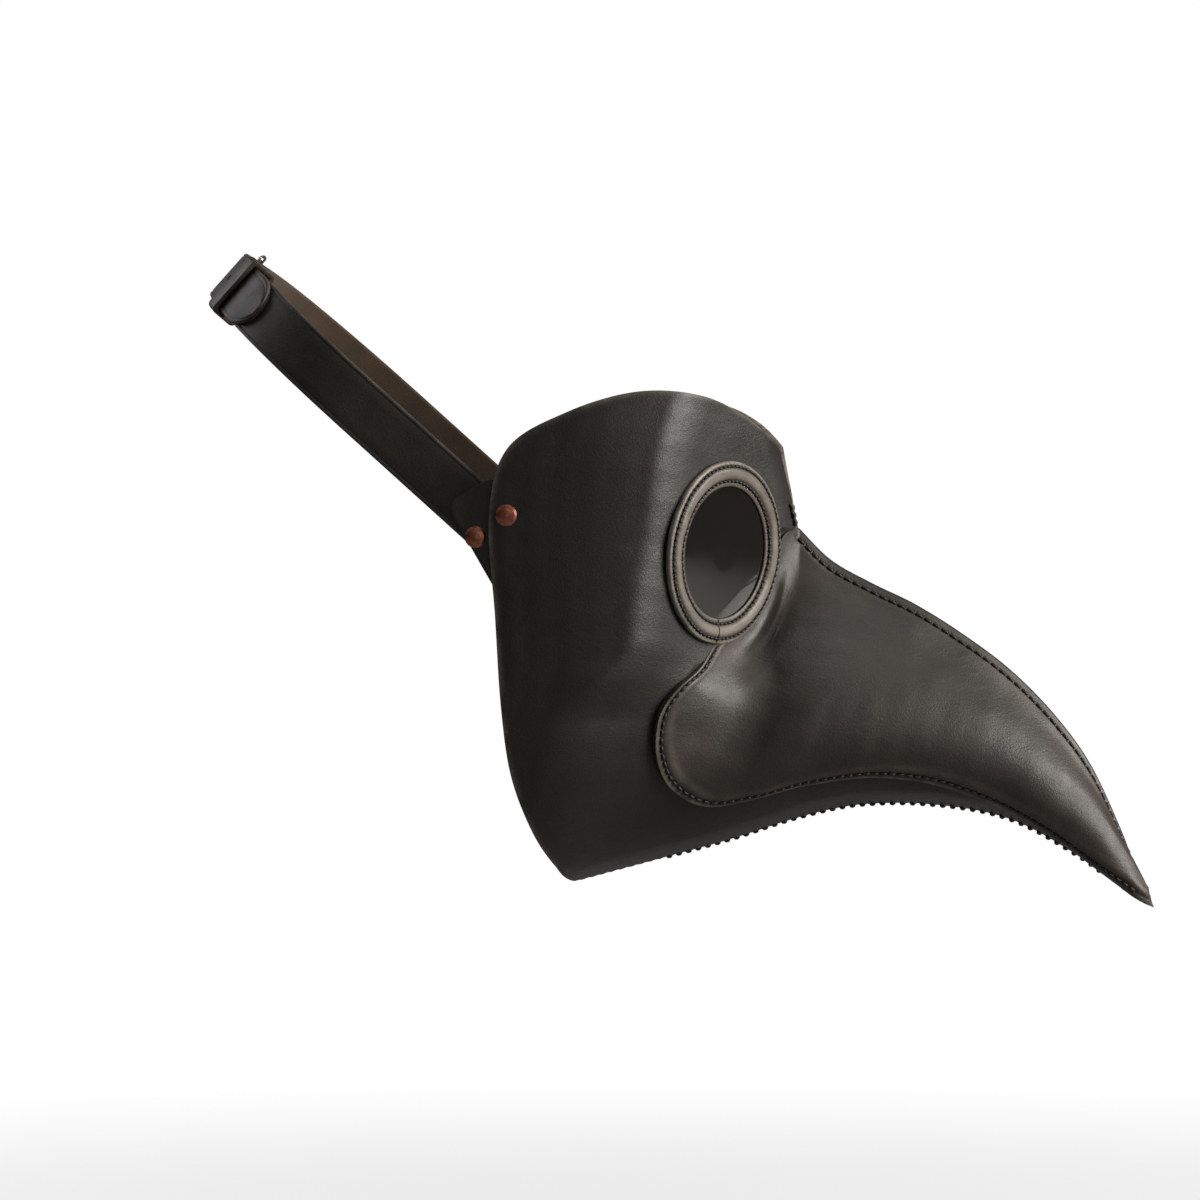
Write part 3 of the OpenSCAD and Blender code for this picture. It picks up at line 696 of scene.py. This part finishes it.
def make_materials():
    return {
        # The face panel is the beak's leather painted darker: painted shade for the side turned away
        # from the key light.
        "face": [leather("face_leather", linear(20, 19, 16), linear(32, 30, 26),
                         linear(33, 26, 22), linear(94, 88, 78), 0.47),
                 flesh_side("face_flesh", linear(58, 49, 41)),
                 cut_edge("face_cut_edge", linear(134, 124, 110), linear(74, 66, 57))],
        "beak": [leather("beak_leather", linear(36, 33, 29), linear(53, 49, 42),
                         linear(53, 41, 36), linear(108, 100, 88), 0.47),
                 flesh_side("beak_flesh", linear(60, 51, 43)),
                 # Painted shadow: the beak's cut edge is much darker than the face's, for the shadow
                 # line along its lap.
                 cut_edge("shadowed_beak_cut_edge", linear(74, 67, 58), linear(40, 35, 30))],
        "ring": [leather("ring_leather", linear(76, 70, 62), linear(104, 97, 88),
                         linear(92, 80, 70), linear(150, 142, 132), 0.42, 1700, 0.00006)],
        "strap": [leather("strap_leather", linear(34, 30, 27), linear(56, 50, 44),
                          linear(52, 40, 34), linear(104, 94, 82), 0.46),
                  flesh_side("strap_flesh", linear(84, 68, 54)),
                  cut_edge("strap_cut_edge", linear(88, 76, 64), linear(44, 37, 32))],
        "thread": [waxed_thread("waxed_thread")],
        "copper": [worn_metal("copper", (0.46, 0.17, 0.11, 1), (0.2, 0.065, 0.045, 1), 0.24)],
        "nickel": [worn_metal("nickel", (0.76, 0.74, 0.7, 1), (0.5, 0.47, 0.42, 1), 0.16)],
        "lens": [smoked_glass("smoked_glass")],
    }


# ---- face panels ----
BROW_SKIVE, LAP_LEAST = 1.1, 0.4         # pared off along the brow, and left under the lap


def even_places(points, last, count, start=0.0):
    """Places on a spline, evenly spaced along its length."""
    t = np.linspace(start, last, 4000)
    length = arc_length(spline(points, t))
    return np.interp(np.linspace(0, length[-1], count), length, t)


def eye_place():
    return (Matrix.Translation((EYE_X, -EYE_Y, 0)) @ Matrix.Rotation(math.radians(EYE_TURN), 4, "Z")
            @ Matrix.Rotation(math.radians(90 + EYE_DIP), 4, "X"))


def face_grid():
    rows, columns = 90, 430
    t = even_places(FACE_OUTER, len(FACE_OUTER) - 1, columns)[None, :]
    s = 1 - (1 - np.linspace(0, 1, rows)[:, None]) ** 1.7
    free = spline(FACE_OUTER, t)
    free[..., 1] = np.where(t >= CHIN_PLACE, keel_z(free[..., 0]), free[..., 1])
    drawn = spline(FACE_INNER, t) * (1 - s[..., None]) + free * s[..., None]
    x, z = from_drawn(drawn)
    on_keel = ease(CHIN_PLACE - 1, CHIN_PLACE, t) * np.ones_like(s)
    on_keel[-1] = np.where(t[0] >= CHIN_PLACE, 1, on_keel[-1])
    closing = np.clip((z - keel_z(x)) / KEEL_ROUND, 0, 1) * np.where(s < 1, 1, 0)
    shut = 1 - on_keel * (1 - np.sqrt(closing * (2 - closing)))
    return x, z, t, on_keel, right_half(x, z, shut)


def make_face_panel(looks):
    x, z, t, on_keel, plain = face_grid()
    normals = keel_normals(plain, grid_normals(plain))
    hidden = column_distance(plain)
    edge = column_distance(plain[::-1])[::-1]
    keel = arc_length(plain[-1])[None, :]
    whip = on_keel * bump(edge, 0, 2.2) * (0.5 + 0.5 * np.cos(2 * math.pi * keel / KEEL_PITCH))
    lap_w = 4.3 + 3.5 * ease(0.2, 1, t)
    lap_depth = 0.3 + 1.6 * ease(0.4, 1.5, t)    # the leather is pared where the beak covers it
    lap = lap_depth * (1 - ease(lap_w - 1.2, lap_w, hidden))
    brow = 1 - ease(0.2, 3.5, row_distance(plain))
    uneven = swell(x, z) * ease(0, 8, edge)
    outer = pushed(plain, normals, uneven - lap - 0.35 * whip)
    inner = pushed(plain, normals, np.minimum(uneven - LEATHER + BROW_SKIVE * brow,
                                              uneven - lap - LAP_LEAST))
    # Rubbed edges are real wear; the lighter strip along the brow is a painted highlight.
    wear_and_highlight = np.maximum(0.9 * bump(edge, 0, 1.6) * (1 - 0.6 * on_keel), 0.7 * brow ** 3)
    # Painted shade darkens the leather between the keel's whip stitches.
    panel = sheet_object("face_leather_right", outer, inner, looks["face"],
                         {"wear_and_highlight": wear_and_highlight, "groove_shade": 0.8 * whip})
    round_edges(panel, 0.35)
    hole = lathe("hole", [[0, -14], [WINDOW_R - 1.5, -14], [WINDOW_R - 1.5, 12], [0, 12]],
                 128, eye_place(), looks["face"][CUT:], closed=False)
    cut(panel, hole)
    return panel


# ---- beak panels ----
CHEEK_INSET, CHEEK_PITCH = 2.6, 3.4
RIDGE_INSET, RIDGE_PITCH = 4.2, 4.0
EYE_PITCH = 2.5
KEEL_PITCH = 4.0
KEEL_ROUND = 6.0


def beak_grid():
    rows, columns = 100, 460
    t = even_places(BEAK_EDGE, BEAK_PLACES, columns)[None, :]
    v = np.linspace(0, 1, rows)[:, None]
    s = v - 0.55 * np.sin(2 * math.pi * v) / (2 * math.pi)
    ridge_x = spline(np.array(BEAK_X)[:, None], t)[..., 0]
    ridge = np.stack([ridge_x, ridge_z(ridge_x)], -1)
    low = spline(BEAK_EDGE, t)
    drawn = ridge * (1 - s[..., None]) + low * s[..., None]
    start = ridge[:, :1] * (1 - s[..., None]) + low[:, :1] * s[..., None]
    rear = spline(BEAK_REAR, s * (len(BEAK_REAR) - 1))
    drawn = drawn + (rear - start) * (1 - ease(0, 6, t))[..., None]
    bow = 4 * s * (1 - s) * t / 3 * np.exp(1 - t / 3)
    drawn = drawn + bow[..., None] * np.array([REAR_BOW, -REAR_BOW])
    x, z = from_drawn(drawn)
    nose = np.clip((t - BEAK_PLACES) / 1.5 + 1, 0, 1)
    plain = right_half(x, z, np.sqrt(1 - nose ** 2))
    from_rear = row_distance(plain)
    tip = ease(BEAK_PLACES - 1.4, BEAK_PLACES, t)
    at_bridge = (1 - ease(0.35, 0.75, s)) * (1 - ease(2, 24, from_rear))
    seated = RING_R + 22 + 24 * ease(-40, -15, z)
    seat = ease(RING_R + 2, seated, eye_distance(x, z))
    lift = LIFT * ease(0.1, 0.5, s) * seat * (1 - at_bridge) * (1 - tip) + 0.35 * at_bridge \
        + 0.1 * (1 - seat)
    thick = LEATHER - 1.3 * (1 - ease(8, 14, from_rear)) - 0.6 * at_bridge - 1.2 * tip
    thick = 0.05 + thick * np.sqrt(1 - nose ** 2)
    return x, z, t, plain, lift, thick


def make_beak_panel(looks):
    """Returns the panel, and its rows of stitches as (middles, directions, normals)."""
    x, z, t, base, lift, thick = beak_grid()
    base_normals = grid_normals(base)
    plain = pushed(base, base_normals, lift)
    from_ridge = column_distance(plain)
    from_edge = column_distance(plain[::-1])[::-1]
    room = ease(5, 10, from_ridge[-1:])
    along_low = arc_length(along_columns(plain[::-1], from_edge[::-1], CHEEK_INSET))[None, :]
    along_top = arc_length(along_columns(plain, from_ridge, RIDGE_INSET))[None, :]
    low_pull, low_groove_shade = pull(from_edge, along_low, CHEEK_INSET, CHEEK_PITCH)
    top_pull, top_groove_shade = pull(from_ridge, along_top, RIDGE_INSET, RIDGE_PITCH)
    low_on, top_on = ease(0.1, 0.4, t), ease(0.2, 0.6, t)
    puff = 0.3 * bump(from_edge, 5.4, 2) * low_on + 0.22 * bump(from_ridge, 6.4, 2.4) * top_on
    relief = puff - low_pull * low_on - top_pull * top_on
    uneven = swell(x, z) * ease(0, 10, from_ridge)
    outer = pushed(base, base_normals, lift + relief * room + uneven)
    inner = pushed(base, base_normals, lift - thick + uneven)
    # Rubbed cut edges are real wear. The lighter band along the ridge towards the tip is a painted
    # highlight, and so is the band over the puffed border 6 mm in from the edge.
    painted_ridge_highlight = bump(from_ridge, 0, 9) * ease(150, 200, x)
    wear_and_highlight = np.maximum(0.85 * bump(from_edge, 0.4, 1.3), 0.5 * painted_ridge_highlight) \
        + 0.25 * bump(from_edge, 6, 2.4)
    # Painted shade in the grooves of both rows of stitches.
    groove_shade = (low_groove_shade * low_on + top_groove_shade * top_on) * room
    panel = sheet_object("beak_leather_right", outer, inner, looks["beak"],
                         {"wear_and_highlight": np.clip(wear_and_highlight, 0, 1), "groove_shade": np.clip(groove_shade, 0, 1)})
    round_edges(panel, 0.35)
    normals = grid_normals(outer)
    rows = []
    for order, distance, inset, pitch, length, places in (
            (-1, from_edge, CHEEK_INSET, CHEEK_PITCH, along_low[0], (0.35, BEAK_PLACES - 1.2)),
            (1, from_ridge, RIDGE_INSET, RIDGE_PITCH, along_top[0], (0.5, BEAK_PLACES - 0.6))):
        line, normal = (along_columns(grid[::order], distance[::order], inset)
                        for grid in (outer, normals))
        start, end = np.interp(places, t[0], length)
        rows.append(paced(line, normal, pitch, length, start, end, 0.8))
    return panel, *rows


def flipped(row):
    """A row of stitches on the other half of the mask."""
    return tuple(part * np.array([1, -1, 1]) for part in row)


def make_keel_rows():
    """Whipped stitches over the keel, from one face panel's edge to the other's."""
    x = np.arange(66, 242, 0.5)
    line = np.stack([x, 0 * x, keel_z(x)], -1)
    down = unit(np.stack([np.gradient(line[:, 2]), 0 * x, -np.gradient(line[:, 0])], -1))
    middle, direction, normal = paced(line, down, KEEL_PITCH)
    lean = math.radians(20)
    across = unit(direction * math.sin(lean) + np.array([0, 1, 0]) * math.cos(lean))
    return middle, across, normal


def make_brow_rows():
    """A few stitches up the brow's edge, above the bridge."""
    z = np.arange(10.5, 20.5, 0.5)
    y = 3.4 + 0.47 * np.maximum(0, z - 12)
    line = np.stack([BROW_X - BROW_LEAN * z - y / BROW_STEEP, -y, z], -1)
    normal = unit(np.array([BROW_STEEP, -1, BROW_STEEP * BROW_LEAN])) + 0 * line
    return paced(line, normal, CHEEK_PITCH)


# ---- eyes ----
INNER_ROW_R, OUTER_ROW_R = WINDOW_R + 2.2, RING_R - 2.0
RING_JOINT = math.radians(-93)   # where the band's two ends meet, at the bottom
RING_ROWS = 44
RING_STITCHES = [(r, round(2 * math.pi * r / EYE_PITCH)) for r in (INNER_ROW_R, OUTER_ROW_R)]


def joint_gap(turn):
    return bump((turn - RING_JOINT + math.pi) % (2 * math.pi) - math.pi, 0, 0.007)


def ring_height(r, turn):
    """Top of the padded band: a roll between two rows of stitches."""
    u = (r - WINDOW_R) / (RING_R - WINDOW_R)
    roll = 2.1 * (1 - u) + 2.3 * u + 1.5 * np.sin(math.pi * np.clip(u, 0, 1) ** 1.2) ** 0.8
    uneven = 0.12 * np.sin(5 * turn + 1) + 0.09 * np.sin(11 * turn + 2.4) + 0.05 * np.sin(23 * turn)
    drawn = 0
    for row_r, count in RING_STITCHES:
        depth, _ = pull(r, (turn % (2 * math.pi)) * row_r, row_r, 2 * math.pi * row_r / count)
        drawn = drawn + 1.5 * depth
    return roll + uneven * np.sin(math.pi * np.clip(u, 0, 1)) - drawn - 1.6 * joint_gap(turn)


def make_eye_ring(looks):
    segments = 720
    turn = turns(segments)[None, :]
    r = np.concatenate([[WINDOW_R + 4, WINDOW_R + 4, WINDOW_R + 0.3],
                        np.linspace(WINDOW_R, RING_R, RING_ROWS),
                        [RING_R, RING_R - 0.3]])[:, None]
    height = ring_height(r, turn)
    wall = np.array([0.3, 1.6, 1.6])[:, None] + 0 * turn
    height = np.concatenate([wall, height[3:-2], 1.4 + 0 * turn, 0.3 + 0 * turn])
    first, last = 3, 2 + RING_ROWS
    height[first] = 1.8
    height[last] = np.minimum(height[last], 2.0)
    radius = r + 0 * turn
    points = np.stack([radius * np.cos(turn), radius * np.sin(turn), height], -1)
    groove_shade = 0
    # Painted shade in the stitch grooves, plus the dark joint where the band's two ends meet.
    for row_r, count in RING_STITCHES:
        groove_shade = groove_shade + pull(r, turn * row_r, row_r, 2 * math.pi * row_r / count)[1]
    wear_and_highlight = bump(r, RING_R - 0.2, 0.7) + 0.4 * bump(r, 31, 1.8) + 0 * turn
    groove_shade = np.clip(groove_shade * 0.7 + joint_gap(turn), 0, 1)
    return new_object("eye_ring_pad_right", at(points.reshape(-1, 3), eye_place()),
                      closed_quads(len(r), segments), looks["ring"], None,
                      {"wear_and_highlight": np.clip(wear_and_highlight, 0, 1), "groove_shade": groove_shade})


def make_eye_rows():
    place = np.array(eye_place())[:3, :3]
    rows = []
    for r, count in RING_STITCHES:
        turn = 2 * math.pi * (np.arange(count) + 0.5) / count
        flat = np.stack([r * np.cos(turn), r * np.sin(turn), ring_height(r, turn)], -1)
        slope = (ring_height(r + 0.8, turn) - ring_height(r - 0.8, turn)) / 1.6
        normal = unit(np.stack([-slope * np.cos(turn), -slope * np.sin(turn), 1 + 0 * turn], -1))
        along = np.stack([-np.sin(turn), np.cos(turn), 0 * turn], -1)
        rows.append((at(flat, eye_place()), along @ place.T, normal @ place.T))
    return rows


def make_lens(looks):
    r = np.linspace(0, WINDOW_R + 3.8, 40)[::-1]
    top = np.minimum(1.45 + 0.6 * (1 - (r / WINDOW_R) ** 2), 2.0)
    profile = [[0, 0.4], [r[0], 0.4], *np.stack([r, top], -1)]
    return lathe("lens_glass_right", profile, 160, eye_place(), looks["lens"], closed=False)


def make_eye_backing(looks):
    inside, outside, low, high = WINDOW_R - 1.5, RING_R - 2.4, -5, -3
    corner = ((0.4, 0), (0.1, 0.12), (0, 0.4))
    profile = [[r + a * across, z + b * up]
               for r, z, across, up, order in ((inside, high, 1, -1, 1), (inside, low, 1, 1, -1),
                                               (outside, low, -1, 1, 1), (outside, high, -1, -1, -1))
               for a, b in corner[::order]]
    return lathe("eye_backing_leather_right", profile, 160, eye_place(), [looks["face"][FLESH]])


# ---- head strap ----
STRAP_W, STRAP_T = 22, 2.2
STRAP_RISE = 42
STRAP_SIDE = 72
STRAP_MID = 78.3
STRAP_Z = -18.4 + STRAP_W / 2    # middle of the strap's width, in the loop's frame
HOLE_R = 1.4
HOLES_U = (26, 38, 50)     # the free holes; the prong's slot and one more are nearer the end
TEMPLE = Vector((11, 0, 14))
HEEL_U, HEEL_N, BAR_R = -8, -1.3, 1.3
STRAP_END = STRAP_MID * math.pi / 2 + STRAP_SIDE


def loop_place():
    """Frame of the strap's loop: it lies in the XY plane and runs from the temples to -X."""
    return Matrix.Translation(TEMPLE) @ Matrix.Rotation(math.radians(STRAP_RISE), 4, "Y")


def on_back(u, n):
    """A place on the loop: u runs round the head from its middle, and n stands out from it."""
    a = u / STRAP_MID
    r = STRAP_MID + n
    far = STRAP_MID * math.pi / 2
    straight = np.abs(u) >= far
    return np.stack([np.where(straight, -STRAP_SIDE + np.abs(u) - far,
                              -STRAP_SIDE - r * np.cos(a)),
                     np.where(straight, np.sign(u) * r, r * np.sin(a))], -1)


def strap_object(name, places, looks, round_end):
    """A strap swept along its places, with softened edges and a creased line near each side."""
    flat = on_back(*np.array(places, float).T)
    t = np.linspace(0, len(flat) - 1, 600)
    line = spline(flat, t)
    line = line[np.concatenate([[True], np.linalg.norm(np.diff(line, axis=0), axis=1) > 0.02])]
    length = arc_length(line)
    line = np.stack([np.interp(np.arange(0, length[-1], 0.9), length, line[:, k])
                     for k in range(2)], -1)
    length = arc_length(line)
    ahead = unit(np.gradient(line, axis=0))
    side = np.stack([-ahead[:, 1], ahead[:, 0]], -1)
    half_t, half_w = STRAP_T / 2, STRAP_W / 2
    w = np.array([-1, -0.985, -0.95, -0.9, -0.87, -0.845, -0.82, -0.78, -0.5, -0.2])
    w = np.concatenate([w, -w[::-1]]) * half_w
    rounding = 0.45 * ease(half_w - 0.9, half_w, np.abs(w)) ** 1.5
    crease = 0.22 * bump(np.abs(w), half_w - 1.7, 0.35)
    top = np.stack([half_t - rounding - crease, w], -1)
    bottom = np.stack([-half_t + rounding, w], -1)[::-1]
    section = np.concatenate([top, bottom])
    narrow = np.ones(len(line))
    if round_end:
        left = np.clip(length / 11, 0, 1)
        narrow = np.sqrt(np.clip(1 - (1 - left) ** 2, 0.003, 1))
    points = np.zeros((len(line), len(section), 3))
    points[..., :2] = line[:, None] + side[:, None] * section[None, :, :1]
    points[..., 2] = STRAP_Z + section[None, :, 1] * narrow[:, None]
    rows, columns = points.shape[:2]
    faces = grid_quads(rows, columns, wrap=True).tolist()
    faces += end_caps(rows, columns)
    per_ring = np.array([GRAIN] * (len(w) - 1) + [CUT] + [FLESH] * (len(w) - 1) + [CUT])
    indexes = np.concatenate([np.tile(per_ring, rows - 1), [CUT, CUT]])
    wear_and_highlight = np.tile(0.5 * bump(np.abs(section[:, 1]), half_w, 0.9), rows)
    # Painted shade along the crease line near each side; the lighter edges are wear.
    groove_shade = np.tile(np.concatenate([0.5 * bump(np.abs(w), half_w - 1.7, 0.4), 0 * w]), rows)
    return new_object(name, at(points.reshape(-1, 3), loop_place()), faces, looks["strap"],
                      indexes, {"wear_and_highlight": wear_and_highlight, "groove_shade": groove_shade})


def punch(u, n, long, material):
    """A cutter for a hole or slot through the strap at u."""
    here, there = on_back(np.array([u, u + 1.0]), np.array([n, n]))
    turn = math.atan2(*(there - here)[::-1])
    outline = [(c * long / 2 + HOLE_R * math.sin(a) * c, HOLE_R * math.cos(a) * c)
               for c in (1, -1) for a in np.linspace(0, math.pi, 17)]
    place = loop_place() @ Matrix.Translation((*here, STRAP_Z)) @ Matrix.Rotation(turn, 4, "Z")
    return prism("hole", outline, -7, 7, place, material)


def make_buckle_strap(looks):
    fold_r = BAR_R + 0.1 + STRAP_T / 2
    main = [[-STRAP_END - 7, 0]] + [[u, 0] for u in np.arange(-STRAP_END, -22, 4)]
    turn = [[HEEL_U + fold_r * math.cos(a), HEEL_N + fold_r * math.sin(a)]
            for a in np.radians(np.arange(115, -116, -23))]
    back = [[-13, -3.3], [-17, -2.7]] + [[u, -STRAP_T - 0.25] for u in np.arange(-20, -37, -4)]
    places = main + [[-17, 0.1], [-13, 0.6]] + turn + back
    strap = strap_object("strap_with_buckle", places, looks, round_end=False)
    (x, y), z = on_back(np.array([HEEL_U]), np.array([HEEL_N]))[0], STRAP_Z
    slot = [(x - 7, z - 1.8), (x + 7, z - 1.8), (x + 7, z + 1.8), (x - 7, z + 1.8)]
    cut(strap, prism("slot", slot, y - 4.5, y + 6.5, loop_place(), looks["strap"][CUT]))
    return strap


def make_holed_strap(looks):
    top = 3.1
    places = [[-62, 2.5], [-50, 2.5], [-40, 2.5], [-34, 2.6], [-28, top], [-22, top], [-15, 3.3],
              [-9, 3.9], [-4, 3.2], [0, 2.2], [5, 0.9], [10, -0.4], [14, -1.1], [20, -1.3],
              [30, -1.1], [42, -0.4]]
    places += [[u, 0] for u in (*np.arange(54, STRAP_END + 7, 4), STRAP_END + 7)]
    strap = strap_object("strap_with_holes", places, looks, round_end=True)
    for u, n, long in ((1.5, 1.6, 11), *((u, 0, 0.1) for u in HOLES_U), (-22, top, 0.1)):
        cut(strap, punch(u, n, long, looks["strap"][CUT]))
    return strap


def make_keeper(looks):
    """A leather loop round the strap's layers."""
    u = -36
    low_n, high_n, wall, long = -1.5 * STRAP_T - 0.8, 2.6 + STRAP_T / 2 + 0.5, 1.8, 9
    half = STRAP_W / 2 + 0.4
    here = on_back(np.array([u]), np.array([0.0]))[0]
    turn = Matrix.Rotation(-u / STRAP_MID, 4, "Z")
    place = loop_place() @ Matrix.Translation((*here, STRAP_Z)) @ turn

    inside = rounded_outline((-high_n, -half), (-low_n, half), 0.6, 9)
    outside = rounded_outline((-high_n - wall, -half - wall), (-low_n + wall, half + wall), 2.2, 9)
    sides = (outside, -long / 2), (outside, long / 2), (inside, long / 2), (inside, -long / 2)
    points = np.stack([np.insert(flat, 1, y, axis=1) for flat, y in sides])
    count = points.shape[1]
    indexes = np.repeat([GRAIN, CUT, FLESH, CUT], count)
    keeper = new_object("strap_keeper_loop", at(points.reshape(-1, 3), place),
                        closed_quads(4, count), looks["strap"], indexes)
    round_edges(keeper, 0.35)
    return keeper


def make_tab(looks):
    """Leather tab between the face panel and the strap's end."""
    wide, long = 23, 44
    shape = rounded_outline((0, 0), (wide, long), 5, 13) + np.array([4.5 - wide, -16])
    place = (Matrix.Translation((TEMPLE.x, -81.9, TEMPLE.z))
             @ Matrix.Rotation(math.radians(-30), 4, "Y") @ Matrix.Rotation(math.radians(-90), 4, "X"))
    count, middle = len(shape), shape.mean(0)
    rings = np.stack([np.insert((shape - middle) * share + middle, 2, 0, axis=1)
                      for share in (0.25, 0.6, 0.88, 1)])
    points = np.concatenate([rings, (rings + [0, 0, LEATHER])[::-1]])
    faces = grid_quads(8, count, wrap=True).tolist()
    faces += [list(range(count)), list(range(8 * count - 1, 7 * count - 1, -1))]
    indexes = [GRAIN] * (3 * count) + [CUT] * count + [FLESH] * (3 * count) + [GRAIN, FLESH]
    tab = new_object("strap_tab_leather_right", at(points.reshape(-1, 3), place), faces,
                     looks["strap"], indexes)
    round_edges(tab, 0.45)
    return tab


# ---- putting it together ----
def settle(piece, body, node):
    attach(piece, body)
    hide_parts(node)


def both_sides(piece, body, node):
    """The right piece stands for node_right, and its mirror image for node_left."""
    other = mirrored(piece, piece.name.replace("_right", "_left"))
    settle(piece, body, f"{node}_right")
    settle(other, body, f"{node}_left")
    return piece, other


def repaint(nodes, material):
    for node in nodes:
        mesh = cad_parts[node].data
        mesh.materials.clear()
        mesh.materials.append(material)


def main():
    make_stage()
    looks = make_materials()
    both_sides(make_face_panel(looks), "mask", "face_panel")
    beak, cheek_row, ridge_row = make_beak_panel(looks)
    both_sides(beak, "mask", "beak_panel")
    thread = looks["thread"][0]
    stitch, ridge_stitch = 0.74 * CHEEK_PITCH, 0.72 * RIDGE_PITCH
    both_sides(thread_object("cheek_thread_right", [(*cheek_row, stitch, 0.2)], thread, 0.64),
               "mask", "cheek_stitching")
    brow_row = make_brow_rows()
    ridge = thread_object("ridge_thread", [(*ridge_row, ridge_stitch, 0.2),
                                           (*flipped(ridge_row), ridge_stitch, 0.2),
                                           (*brow_row, stitch, 0.2),
                                           (*flipped(brow_row), stitch, 0.2)], thread, 0.7)
    settle(ridge, "mask", "ridge_stitching")
    keel = thread_object("keel_thread", [(*make_keel_rows(), 5.0, 0.2)], thread)
    settle(keel, "mask", "keel_stitching")
    for ring in both_sides(make_eye_ring(looks), "mask", "eye_ring"):
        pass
    both_sides(make_lens(looks), "mask", "lens")
    both_sides(make_eye_backing(looks), "mask", "eye_backing")
    eye_rows = [(*row, 0.72 * EYE_PITCH, 0.15) for row in make_eye_rows()]
    both_sides(thread_object("eye_thread_right", eye_rows, thread), "mask",
               "eye_stitching")
    both_sides(make_tab(looks), "head_strap", "strap_tab")
    settle(make_buckle_strap(looks), "head_strap", "buckle_strap")
    settle(make_holed_strap(looks), "head_strap", "holed_strap")
    settle(make_keeper(looks), "keeper", "strap_keeper")
    rivets = [f"{name}_{side}" for side in ("right", "left")
              for name in ("temple_rivet", "temple_burr", "tab_rivet", "tab_burr")]
    repaint([*rivets, "chape_rivets"], looks["copper"][0])
    repaint(["buckle_frame", "buckle_prong"], looks["nickel"][0])


main()
bpy.context.view_layer.update()
